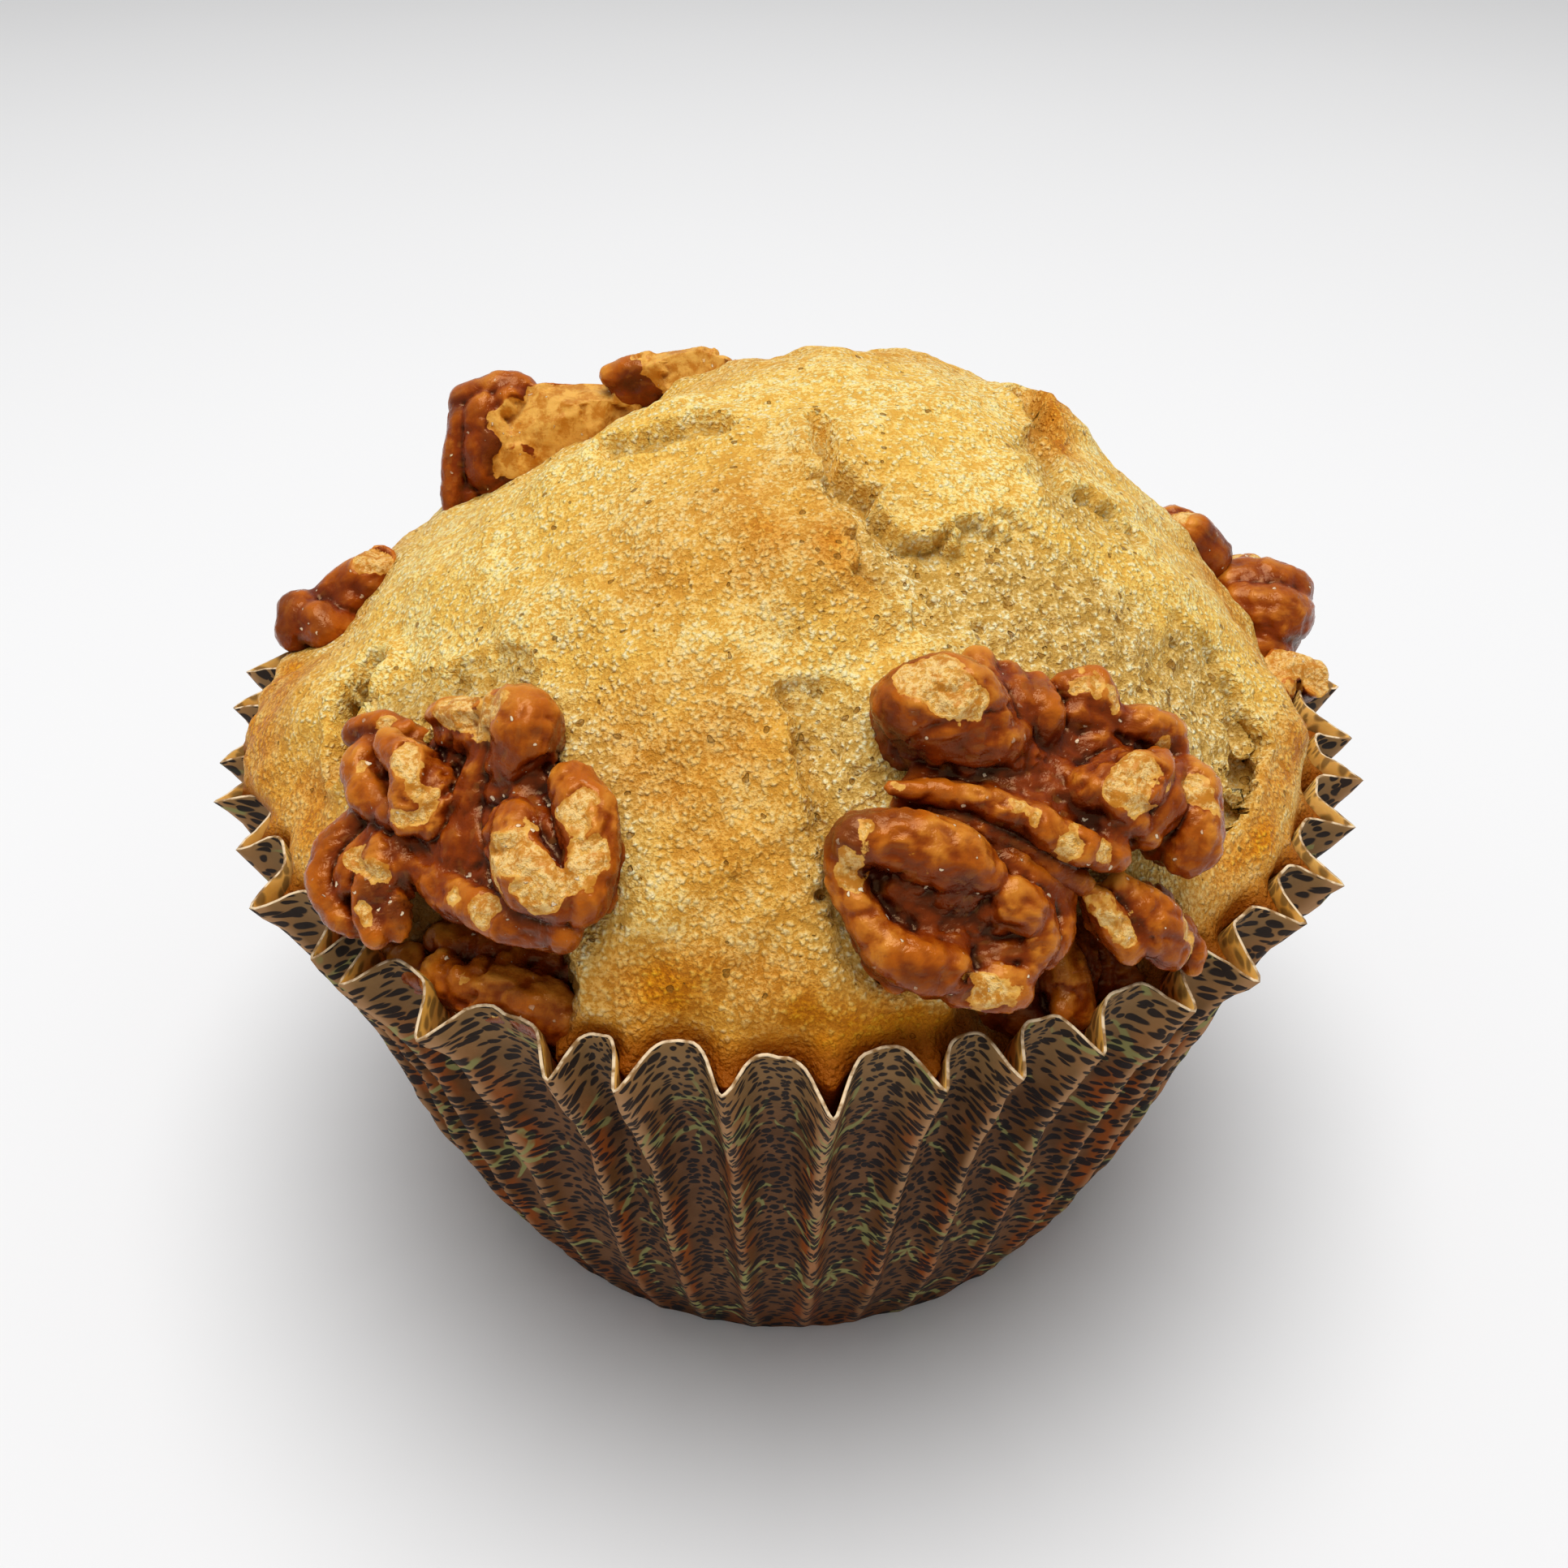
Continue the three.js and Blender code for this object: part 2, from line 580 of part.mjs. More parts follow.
const room = roomInCase();
const muffin = new THREE.Group();
let cake = cutCracks(cakeBody());
for (const bay of BAYS) {
  cake = cake.subtract(bayCutter(bay));
}
let taken = null;
for (const kernel of KERNELS) {
  let solid = kernelSolid(kernel).intersect(room);
  if (taken) {
    solid = solid.subtract(taken);
  }
  muffin.add(toNode(kernel.name, largestBody(solid), walnutFinish()));
  const pocket = kernelSolid(kernel, GAP);
  taken = taken ? taken.add(pocket) : pocket;
  cake = cake.subtract(nestSolid(kernel));
}
cake = largestBody(cake.subtract(taken));
muffin.add(toNode('cake', cake, crustFinish));
muffin.add(toNode('paper_case', paperCase(), paperFinish));

export default muffin;
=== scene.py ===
"""A walnut muffin in its pleated paper case.

Shapes are worked out in millimetres and written to the meshes in metres, in the
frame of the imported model: the origin is the middle of the case's flat bottom,
+Z is up, and the side with the two large walnut clusters faces -Y.
"""
import json
import math

import bpy
import numpy as np
from mathutils import Matrix, Vector, noise
from mathutils.bvhtree import BVHTree
from mathutils.interpolate import poly_3d_calc
from mathutils.kdtree import KDTree

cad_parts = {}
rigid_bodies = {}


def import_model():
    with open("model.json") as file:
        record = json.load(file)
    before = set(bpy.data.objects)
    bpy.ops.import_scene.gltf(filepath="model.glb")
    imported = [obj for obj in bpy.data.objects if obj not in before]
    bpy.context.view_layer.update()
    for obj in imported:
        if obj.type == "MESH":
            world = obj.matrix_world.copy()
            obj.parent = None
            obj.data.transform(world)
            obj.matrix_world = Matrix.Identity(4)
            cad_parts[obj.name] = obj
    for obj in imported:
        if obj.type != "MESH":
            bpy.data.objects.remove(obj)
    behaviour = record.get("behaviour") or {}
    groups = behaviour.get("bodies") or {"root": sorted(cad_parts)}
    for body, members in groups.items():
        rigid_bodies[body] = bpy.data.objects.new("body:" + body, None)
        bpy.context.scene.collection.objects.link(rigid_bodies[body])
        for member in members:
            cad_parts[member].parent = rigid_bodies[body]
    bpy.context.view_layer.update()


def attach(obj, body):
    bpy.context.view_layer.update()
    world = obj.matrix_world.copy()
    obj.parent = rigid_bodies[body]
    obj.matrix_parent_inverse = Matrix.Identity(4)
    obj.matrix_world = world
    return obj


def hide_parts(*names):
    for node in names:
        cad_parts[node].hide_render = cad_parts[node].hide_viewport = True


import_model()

MM = 0.001

# ------------------------------------------------------------------ measures
# The paper case
PLEATS = 44
CASE_HEIGHT = 36.6
CASE_BOTTOM_RADIUS = 24.2
CASE_RIM_RADIUS = 37.4
CASE_BULGE = 0.7
FIRST_PLEAT = 174.3
SHALLOWEST_PLEAT = 0.2
RIM_WAVER = 0.2
FOLD_SHARE = 0.72
FOLD_FLATNESS = 2.1
CAD_PAPER = 0.4
PAPER = 0.17
POINTS_PER_PLEAT = 20
WALL_ROWS = 36
BOTTOM_ROWS = 4

# The cake
GAP = 0.31
CAKE_TOP = 58.2
APEX_X = 3.0
APEX_Y = 1.5
EDGE_RADIUS = 34.3
EDGE_HEIGHT = 38.0
CRUST_GRID = 150
SIDE_RINGS = 12
CRUST_REACH = 25.5
CRUMB_SIZE = 0.33
HIDDEN_BELOW = 33.5
HEART = (0.0, 0.0, 28.0)

# The view: where the eye stands, how far it looks down, and its picture's width
EYE = (-0.3, -88.7, 93.3)
LOOK_DOWN = 35.9
PICTURE_WIDTH = 1932
FOCAL_PIXELS = 1900
SENSOR = 36.0


# ------------------------------------------------------------------- helpers
def take(piece):
    bpy.ops.object.select_all(action="DESELECT")
    piece.select_set(True)
    bpy.context.view_layer.objects.active = piece


def apply(piece, modifier):
    take(piece)
    bpy.ops.object.modifier_apply(modifier=modifier.name)


def places(piece):
    flat = np.empty(len(piece.data.vertices) * 3, dtype=np.float32)
    piece.data.vertices.foreach_get("co", flat)
    return flat.reshape(-1, 3).astype(float)


def move_to(piece, where):
    piece.data.vertices.foreach_set("co", np.asarray(where, dtype=np.float32).ravel())
    piece.data.update()


def paint(piece, name, red, green, blue):
    """Keeps three shares for each vertex in one attribute, which the finish reads."""
    layer = piece.data.attributes.new(name, "FLOAT_COLOR", "POINT")
    shares = np.ones((len(piece.data.vertices), 4), dtype=np.float32)
    for column, values in enumerate((red, green, blue)):
        shares[:, column] = np.clip(values, 0, 1)
    layer.data.foreach_set("color", shares.ravel())


def smoothstep(low, high, value):
    t = np.clip((value - low) / (high - low), 0, 1)
    return t * t * (3 - 2 * t)


def cloud(points, size, octaves=2):
    """Soft noise from -1 to 1 at each point, with features of the given size in mm."""
    scaled = points / size
    return np.array([noise.fractal(Vector(p), 1.0, 2.0, octaves) for p in scaled])


def finish_piece(piece, slot, material, *replaced):
    """Brings a piece from millimetres to metres and hangs it on the frame."""
    move_to(piece, places(piece) * MM)
    if material is not None:
        piece.data.materials.clear()
        piece.data.materials.append(material)
    take(piece)
    bpy.ops.object.shade_smooth()
    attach(piece, "root")
    if replaced:
        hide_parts(*replaced)


# ---------------------------------------------------------------- paper case
def case_radius(z):
    straight = CASE_BOTTOM_RADIUS + (CASE_RIM_RADIUS - CASE_BOTTOM_RADIUS) * z / CASE_HEIGHT
    return straight + CASE_BULGE * np.sin(2 * np.pi * z / CASE_HEIGHT)


def wall_length(z):
    return z * math.hypot(1, (CASE_RIM_RADIUS - CASE_BOTTOM_RADIUS) / CASE_HEIGHT)


def pleat_depth(z):
    flank = np.pi * (CASE_BOTTOM_RADIUS + wall_length(z)) / PLEATS
    half_pitch = np.pi * case_radius(z) / PLEATS
    return SHALLOWEST_PLEAT + np.sqrt(np.maximum(flank**2 - half_pitch**2, 0))


def inner_radius(z):
    return case_radius(z) - FOLD_SHARE * pleat_depth(z) - CAD_PAPER - GAP


# Where the eye sees the tips of the outer creases round the front half of the rim:
# across and down in its picture
CREASE_TIPS = (
    (306, 831), (292, 874), (253, 935), (265, 987), (279, 1049), (316, 1113), (362, 1193),
    (430, 1207), (522, 1270), (673, 1332), (758, 1347), (891, 1348), (1025, 1362),
    (1165, 1342), (1256, 1328), (1381, 1321), (1498, 1266), (1557, 1210), (1597, 1130),
    (1637, 1078), (1667, 1018), (1668, 962), (1666, 907), (1655, 851), (1608, 783),
)


def sight_line(across, down):
    """The way from the eye through a place in its picture."""
    tilt = math.radians(LOOK_DOWN)
    right = (across - PICTURE_WIDTH / 2) / FOCAL_PIXELS
    up = (PICTURE_WIDTH / 2 - down) / FOCAL_PIXELS
    way = np.array([right, math.cos(tilt) + up * math.sin(tilt), up * math.cos(tilt) - math.sin(tilt)])
    return way / np.linalg.norm(way)


def crease_lean(crease):
    """How far an outer crease leans round the rim, in degrees."""
    if crease >= len(CREASE_TIPS):
        return 0.9 * math.sin(2.4 * crease) + 1.0 * math.sin(0.9 * crease + 1)
    way = sight_line(*CREASE_TIPS[crease])
    tip = np.array(EYE) + way * (CASE_HEIGHT - EYE[2]) / way[2]
    even = FIRST_PLEAT + crease * 360 / PLEATS
    return round((math.degrees(math.atan2(tip[1], tip[0])) - even + 180) % 360 - 180, 1)


def between_creases(turn, values):
    """A value for each outer crease, passed on evenly to the folds between them."""
    return np.interp(turn, range(PLEATS + 1), values + values[:1])


def pleat_shift(turn):
    return between_creases(turn, [crease_lean(crease) for crease in range(PLEATS)]) * PLEATS / 360


CREASE_SOFTNESS = 0.5
FOLD_LIFT = 0.9


def pleat_fold(turn):
    """0 on an outer crease and 1 in the middle of an inner fold."""
    wave = np.sin(np.pi * turn)
    most = math.hypot(1, CREASE_SOFTNESS) - CREASE_SOFTNESS
    return 1 - (1 - (np.hypot(wave, CREASE_SOFTNESS) - CREASE_SOFTNESS) / most) ** FOLD_FLATNESS


def make_case(materials):
    rows = WALL_ROWS + BOTTOM_ROWS
    columns = PLEATS * POINTS_PER_PLEAT
    bpy.ops.object.select_all(action="DESELECT")
    bpy.ops.mesh.primitive_grid_add(x_subdivisions=columns, y_subdivisions=rows, size=2)
    case = bpy.context.object
    case.name = "pleated_case"
    grid = places(case)
    pleat = (grid[:, 0] + 1) / 2 * PLEATS
    row = np.round((grid[:, 1] + 1) / 2 * rows)
    z = np.maximum(row - BOTTOM_ROWS, 0) / WALL_ROWS * CASE_HEIGHT
    along = z / CASE_HEIGHT
    across = np.minimum(row, BOTTOM_ROWS) / BOTTOM_ROWS

    turn = np.mod(np.round(pleat * POINTS_PER_PLEAT) / POINTS_PER_PLEAT, PLEATS)
    angle = math.radians(FIRST_PLEAT) + (turn + pleat_shift(turn) * along) * 2 * np.pi / PLEATS
    # broad round inner folds between narrow outer creases
    fold = pleat_fold(turn)
    radius = case_radius(z) - FOLD_SHARE * pleat_depth(z) * fold
    at = np.stack([radius * np.cos(angle), radius * np.sin(angle), z], axis=1)
    crinkle = cloud(at, 6.0) * 0.45 * along + cloud(at, 2.2) * 0.16
    lean = 0.2 * along**2 * between_creases(turn, [math.sin(2.7 * crease + 0.4) for crease in range(PLEATS)])
    radius = (radius + crinkle + lean) * across
    waver = RIM_WAVER * along * between_creases(
        turn, [math.sin(1.9 * crease + 0.5) for crease in range(PLEATS)])
    lift = FOLD_LIFT * fold * along**2
    rim = (row == rows) * cloud(at + 40, 0.9, 3) * 0.1 + along**3 * cloud(at + 70, 5.0) * 0.5
    move_to(case, np.stack([radius * np.cos(angle), radius * np.sin(angle), z + waver + lift + rim], axis=1))

    # the sheet that the case was pressed from, laid flat: its print lies on this
    on_wall = CASE_BOTTOM_RADIUS + wall_length(z)
    sheet_radius = np.where(row > BOTTOM_ROWS, on_wall, across * CASE_BOTTOM_RADIUS)
    sheet_angle = turn * 2 * np.pi / PLEATS
    sheet = np.stack([np.cos(sheet_angle), np.sin(sheet_angle)], axis=1) * sheet_radius[:, None]
    corner = np.empty(len(case.data.loops), dtype=np.int32)
    case.data.loops.foreach_get("vertex_index", corner)
    uv = case.data.uv_layers.active.data
    uv.foreach_set("uv", (sheet[corner] / SHEET_WIDTH + 0.5).astype(np.float32).ravel())

    take(case)
    bpy.ops.object.mode_set(mode="EDIT")
    bpy.ops.mesh.select_all(action="SELECT")
    bpy.ops.mesh.remove_doubles(threshold=1e-4)
    bpy.ops.mesh.normals_make_consistent(inside=False)
    bpy.ops.object.mode_set(mode="OBJECT")
    where = places(case)
    height = where[:, 2] / CASE_HEIGHT
    depth = FOLD_SHARE * pleat_depth(where[:, 2])
    outer = (np.hypot(where[:, 0], where[:, 1]) - case_radius(where[:, 2])) / np.maximum(depth, 1.0) + 1
    # the height, and how far out each point stands from the inner folds to the outer creases; the outside
    # finish paints the folds darker and the creases lighter as shade and highlight
    paint(case, "height_and_fold_shading", height, outer, np.zeros(len(where)))
    wall = case.modifiers.new("wall", "SOLIDIFY")
    wall.thickness = PAPER
    wall.offset = -1
    wall.material_offset = 1
    wall.material_offset_rim = 2
    for material in materials:
        case.data.materials.append(material)
    apply(case, wall)
    where = places(case)
    where[:, 2] = np.maximum(where[:, 2], 0)
    move_to(case, where)
    return case


SHEET_WIDTH = 130.0


# ---------------------------------------------------------------------- cake
def towards(a, degrees, spread):
    away = np.arctan2(np.sin(a - math.radians(degrees)), np.cos(a - math.radians(degrees)))
    return np.exp(-((away / math.radians(spread)) ** 2))


def edge_radius(a):
    waves = -1.4 * np.cos(a) - 0.4 * np.sin(a) - 0.35 * np.cos(2 * a) - 0.4 * np.sin(2 * a)
    return EDGE_RADIUS + waves - 1.8 * towards(a, -88, 34)


def edge_height(a):
    return EDGE_HEIGHT - 0.5 * np.cos(a) - 0.3 * np.sin(a)


def fullness(a):
    return 0.88 - 0.13 * np.cos(a) + 0.12 * np.cos(2 * a)


def plain_dome(a, out):
    edge_x = edge_radius(a) * np.cos(a)
    edge_y = edge_radius(a) * np.sin(a)
    rise = np.maximum(1 - out * out, 0) ** fullness(a)
    return np.stack([
        APEX_X + (edge_x - APEX_X) * out,
        APEX_Y + (edge_y - APEX_Y) * out,
        edge_height(a) + (CAKE_TOP - edge_height(a)) * rise,
    ], axis=-1)


# Swellings and hollows: direction in degrees, share of the way to the edge,
# breadth and height in mm.
RELIEF = (
    (146, 0.6, 9, -2.6), (-163, 0.92, 4.0, 0.5), (-158, 0.75, 3.2, -0.6), (-95, 0.92, 6, 0.7),
    (-50, 0.68, 6.5, -1.1), (-32, 0.86, 4, -1.3), (-68, 0.44, 3, -0.7), (-100, 0.42, 4.5, 0.6),
    (-45, 0.4, 4, 0.5), (-20, 0.95, 4, 0.6), (20, 0.5, 4.5, 0.5), (60, 0.8, 7, 0.9),
    (-90, 0.46, 2.2, 0.8), (-120, 0.55, 5, 0.5), (-105, 0.75, 4, 0.4), (-170, 0.55, 6, 0.5),
    (100, 0.6, 6, -0.8), (176, 0.9, 3.8, -2.6), (-150, 1.0, 4.5, -1.2),
    (-18, 0.95, 2.0, 0.9), (-27, 0.995, 2.2, 0.9), (-37, 1.0, 2.2, 0.8), (-9, 0.91, 2.0, 0.6),
    (-158, 0.91, 3.0, 0.8),
    (-178, 0.32, 2.8, 1.1), (-171, 0.43, 2.4, 0.6), (15, 0.5, 1.8, 1.0), (94, 0.28, 1.8, 0.5),
)


def unevenness(p):
    x, y, z = p[:, 0], p[:, 1], p[:, 2]
    broad = np.sin(0.42 * x + 0.8) * np.sin(0.5 * y + 0.3 * z)
    fine = np.sin(1.1 * x - 0.6 * y) * np.sin(0.9 * y + 0.7 * z + 1.4)
    return 0.28 * broad + 0.2 * fine


def swollen_dome(a, out):
    """Places on the crust with its broad forms, and the way out of the cake there."""
    points = plain_dome(a, out)
    outward = points - np.array(HEART)
    outward /= np.linalg.norm(outward, axis=1)[:, None]
    swell = unevenness(points)
    for at, share_out, breadth, height in RELIEF:
        middle = plain_dome(np.array(math.radians(at)), np.array(share_out))
        away = np.linalg.norm(points - middle, axis=1) / breadth
        swell += height * np.exp(-0.5 * away * away)
    return points + outward * swell[:, None], outward


def crust_map(at, out):
    """The place of a point on the crust laid flat: mm from the apex, to each side."""
    reach = CRUST_REACH * np.arcsin(np.clip(out, 0, 1))
    return np.stack([reach * np.cos(at), reach * np.sin(at)], axis=-1)


def off_path(flat, path):
    """Distance in mm on the flat crust from a chain of (degrees, share) places."""
    spots = [crust_map(math.radians(at), out) for at, out in path]
    if len(spots) == 1:
        return np.linalg.norm(flat - spots[0], axis=1)
    nearest = np.full(len(flat), 1e9)
    for start, end in zip(spots, spots[1:]):
        along = end - start
        t = np.clip((flat - start) @ along / (along @ along), 0, 1)
        nearest = np.minimum(nearest, np.linalg.norm(flat - start - t[:, None] * along, axis=1))
    return nearest


def in_opening(flat, run, corners):
    """Distance in mm inside an outline on the flat crust, negative outside it, and
    how deep its floor lies, which rises with the distance from the steps."""
    spots = [crust_map(math.radians(at), out) for at, out, _ in corners]
    nearest = np.full(len(flat), 1e9)
    floor = np.zeros(len(flat))
    within = np.zeros(len(flat), dtype=bool)
    for corner, start in enumerate(spots):
        after = (corner + 1) % len(spots)
        along = spots[after] - start
        t = np.clip((flat - start) @ along / (along @ along), 0, 1)
        away = np.linalg.norm(flat - start - t[:, None] * along, axis=1)
        nearest = np.minimum(nearest, away)
        step = corners[corner][2] * (1 - t) + corners[after][2] * t
        floor = np.maximum(floor, step * np.exp(-away / run))
        crossed = (start[1] > flat[:, 1]) != (spots[after][1] > flat[:, 1])
        meets = start[0] + (flat[:, 1] - start[1]) / (along[1] + 1e-12) * along[0]
        within ^= crossed & (flat[:, 0] < meets)
    return np.where(within, nearest, -nearest), floor


# Where a flap of crust has lifted and left the crumb bare: how far the floor
# takes to rise again in mm, how ragged the edge is, how much crumb shows, and the
# corners of the bare place, each with the depth of the step there in mm.
OPENINGS = (
    (1.7, 1.0, 0.95, (
        (-91, 0.27, 0.6), (-85, 0.305, 1.2), (-76, 0.355, 1.4), (-72, 0.43, 1.3), (-65, 0.455, 1.3),
        (-54, 0.44, 1.0), (-44, 0.47, 0.5), (-36, 0.56, 0), (-28, 0.68, 0), (-30, 0.8, 0),
        (-45, 0.84, 0), (-62, 0.74, 0), (-68, 0.63, 0.4), (-75, 0.57, 0.8), (-81, 0.5, 1.3),
        (-85.5, 0.4, 1.3), (-90, 0.31, 0.9),
    )),
    (1.3, 0.8, 0.9, (
        (-94, 0.67, 0.5), (-92, 0.71, 1.0), (-90, 0.74, 1.3), (-91, 0.77, 1.3), (-89, 0.81, 1.3),
        (-88, 0.86, 1.0), (-88, 0.9, 0.9), (-86, 0.95, 0.6), (-83, 0.985, 0.3), (-76, 0.97, 0),
        (-77, 0.85, 0), (-80, 0.72, 0), (-85, 0.66, 0),
    )),
    (2.4, 0.3, 1.0, (
        (-20, 0.81, 0.5), (-22.5, 0.88, 1.1), (-25, 0.935, 1.6), (-34, 0.955, 1.6), (-40, 0.965, 1.0),
        (-48, 0.93, 0), (-47, 0.84, 0), (-36, 0.75, 0), (-24, 0.73, 0),
    )),
    (1.5, 0.5, 0.8, (
        (4, 0.42, 0.8), (-12, 0.455, 1.1), (-20, 0.47, 1.1), (-16, 0.52, 1.1), (-13, 0.6, 0.8),
        (-14, 0.64, 0.4), (-22, 0.62, 0), (-28, 0.53, 0), (-33, 0.46, 0), (-26, 0.4, 0),
        (-20, 0.37, 0.3), (-6, 0.38, 0.4),
    )),
)

# Where the crust has torn open: half width and depth in mm, how much crumb
# shows, how ragged the edge is, and the places that the tear runs through.
TEARS = (
    (0.45, 1.5, 0.15, 0.3, ((-98, 0.15), (-94, 0.22), (-88, 0.29), (-84, 0.32))),
    (0.7, 1.6, 0.4, 0.5, ((25, 0.45), (14, 0.43), (4, 0.43))),
    (0.8, 2.4, 0.2, 0.3, ((-157, 0.79), (-153, 0.84), (-150, 0.86), (-147, 0.9))),
    (0.45, 0.9, 0.1, 0.4, ((-141, 0.76), (-141, 0.73), (-138, 0.73))),
    (1.6, 0.3, 0.6, 0.8, ((-147, 0.79), (-139, 0.75), (-131, 0.7))),
    (0.7, 1.1, 0.3, 0.5, ((-162, 0.36), (-156, 0.28), (-150, 0.22))),
    (0.9, 1.3, 0.5, 0.7, ((70, 0.5), (84, 0.62), (88, 0.78))),
    (0.6, 0.8, 0.5, 1.1, ((150, 0.8), (138, 0.85), (124, 0.83))),
)

# Holes that run in under the crust: radius in mm, how far the middle is sunk,
# and the places that the hole runs through.
BURROWS = (
    (0.5, 0.35, ((-84, 0.29), (-82, 0.32))),
    (0.35, 0.3, ((-86, 0.36), (-82, 0.42))),
    (0.45, 0.35, ((-72, 0.41), (-68, 0.44), (-64, 0.45))),
    (0.4, 0.3, ((-55, 0.44), (-54, 0.45))),
    (0.35, 0.3, ((-52, 0.48), (-48, 0.52))),
    (0.55, 0.35, ((-157, 0.8), (-154, 0.83), (-151, 0.86))),
    (0.6, 0.4, ((-25, 0.9), (-29, 0.94), (-37, 0.955))),
    (0.6, 0.3, ((-153, 0.81), (-148, 0.82), (-145, 0.82))),
    (0.5, 0.3, ((-88, 0.855), (-87, 0.865))),
    (0.4, 0.2, ((-86, 0.89), (-85.6, 0.9))),
    (0.45, 0.2, ((-86, 0.925), (-85.6, 0.94))),
    (0.4, 0.25, ((-82, 0.97), (-81, 0.985))),
    (0.35, 0.25, ((-84, 0.975), (-79, 0.975))),
    (0.35, 0.3, ((-18, 0.51), (-13, 0.55))),
    (0.35, 0.3, ((84, 0.62), (87, 0.72))),
)

# Bays where walnuts reach the paper: direction in degrees, then half sizes
# outward, sideways and upward.
BAYS = ((-120, 6.5, 7.6, 6.5), (-64, 6.5, 8.2, 6.5), (-135, 4.8, 4.2, 6.0))
BAY_RADIUS = 36.0
BAY_HEIGHT = 39.5

# Browned places: breadth in mm, how brown, and where.
BROWNED = (
    (2.6, 0.75, ((-89, 0.45), (-86, 0.47))),
    (5.0, 0.5, ((-97, 0.44), (-112, 0.4), (-116, 0.46))),
    (1.8, 0.7, ((-98, 0.45), (-104, 0.43))),
    (5.0, 0.7, ((-104, 0.76), (-96, 0.86), (-92, 0.9))),
    (5.5, 1.2, ((-100, 0.99), (-90, 0.99), (-80, 1.0))),
    (3.0, 1.0, ((-178, 0.97), (-168, 0.99), (-156, 1.0), (-148, 1.0))),
    (5.0, 0.9, ((-172, 0.93), (-158, 0.97), (-146, 0.97))),
    (3.0, 0.85, ((-52, 0.99), (-35, 0.98), (-15, 0.96), (5, 0.86))),
    (1.5, 0.9, ((-3, 0.45), (12, 0.46), (22, 0.5))),
    (6.0, 0.5, ((60, 0.95), (90, 0.95), (120, 0.95))),
    (5.0, 0.5, ((150, 0.95), (175, 0.93))),
    (4.0, 0.35, ((60, 0.4), (120, 0.3))),
)


def crust_shape(points, flat, opened):
    """Height of the fine forms of the crust, and the shares that its finish reads."""
    ragged = cloud(points, 1.7, 2)
    broken = cloud(points + 15, 2.8, 3)
    height = np.zeros(len(points))
    curl = np.zeros(len(points))
    crumb = smoothstep(0.1, 0.5, opened)
    pit_shade = np.zeros(len(points))
    torn = cloud(points + 5, 0.6, 1)
    for run, rag, share, corners in OPENINGS:
        inside, floor = in_opening(flat, run, corners)
        inside += rag * ragged + 0.3 * torn
        step = smoothstep(-0.12, 0.22, inside)
        height = np.minimum(height, -floor * step)
        curl = np.maximum(curl, 0.22 * floor * np.exp(-(((inside + 0.45) / 0.4) ** 2)))
        crumb = np.maximum(crumb, share * smoothstep(-0.8, 1.8, inside + 0.9 * broken))
        # painted shade at the foot of each step
        pit_shade = np.maximum(pit_shade, 0.6 * floor * step * np.exp(-((np.maximum(inside - 0.25, 0) / 0.3) ** 2)))
    for half_width, depth, share, rag, path in TEARS:
        inside = half_width - off_path(flat, path) + rag * ragged + 0.12 * torn
        # the crust ends in a step, and the floor of the tear rises again from its foot
        floor = 0.4 + 0.6 * np.exp(-np.maximum(inside, 0) / 1.3)
        height = np.minimum(height, -depth * floor * smoothstep(-0.1, 0.2, inside))
        curl = np.maximum(curl, 0.2 * depth * np.exp(-(((inside + 0.45) / 0.4) ** 2)))
        crumb = np.maximum(crumb, share * smoothstep(-0.6, 1.6, inside + 0.7 * broken))
        # painted shade in the tear, darkest at the foot of its step
        shadow = smoothstep(-0.05, 0.15, inside) * np.exp(-((np.maximum(inside - 0.2, 0) / 0.35) ** 2))
        pit_shade = np.maximum(pit_shade, np.maximum((1 - share) * smoothstep(0.0, 0.3, inside), 0.22 * shadow * depth))
    height += curl * (height > -0.1)

    brown = np.zeros(len(points))
    patchy = cloud(points, 4.0, 3)
    for breadth, share, path in BROWNED:
        away = off_path(flat, path) / breadth
        brown = np.maximum(brown, share * np.exp(-away * away) * (1 + 0.5 * patchy))

    # bubbles that burst at the surface: few in the crust, many in the crumb
    nearness = np.empty(len(points))
    chance = np.empty(len(points))
    grain = np.empty(len(points))
    for i, p in enumerate(points):
        place = Vector(p)
        near, centres = noise.voronoi(place / 1.25)
        nearness[i] = near[0]
        chance[i] = noise.cell(centres[0] * 7.3)
        grain[i] = noise.voronoi(place / 0.8)[0][0]
    chance = (chance + 1) / 2
    wanted = 0.04 + 0.26 * crumb
    size = 0.12 + 0.28 * np.mod(chance * 7.7, 1) + 0.16 * torn
    hole = smoothstep(0, 0.16, size - nearness) * (chance < wanted)
    height -= hole * (0.25 + 0.45 * crumb)
    # painted shade in the holes
    pit_shade = np.maximum(pit_shade, 0.38 * hole)

    height += (0.32 - grain) * (0.12 + 0.2 * crumb)
    height += cloud(points, 0.8, 2) * (0.06 + 0.2 * crumb)
    height += cloud(points, 2.6, 2) * (0.14 + 0.06 * crumb)
    return height, brown, crumb, pit_shade


def square_to_disc(x, y):
    """Direction and share of the way to the edge of a point in a square of half width 1."""
    share = np.maximum(np.abs(x), np.abs(y))
    flat = np.abs(x) >= np.abs(y)
    longer = np.where(flat, x, y)
    slant = np.where(flat, y, x) / np.where(longer == 0, 1, longer)
    a = np.where(flat, np.pi / 4 * slant, np.pi / 2 - np.pi / 4 * slant)
    return np.where((flat & (x < 0)) | (~flat & (y < 0)), a + np.pi, a), share


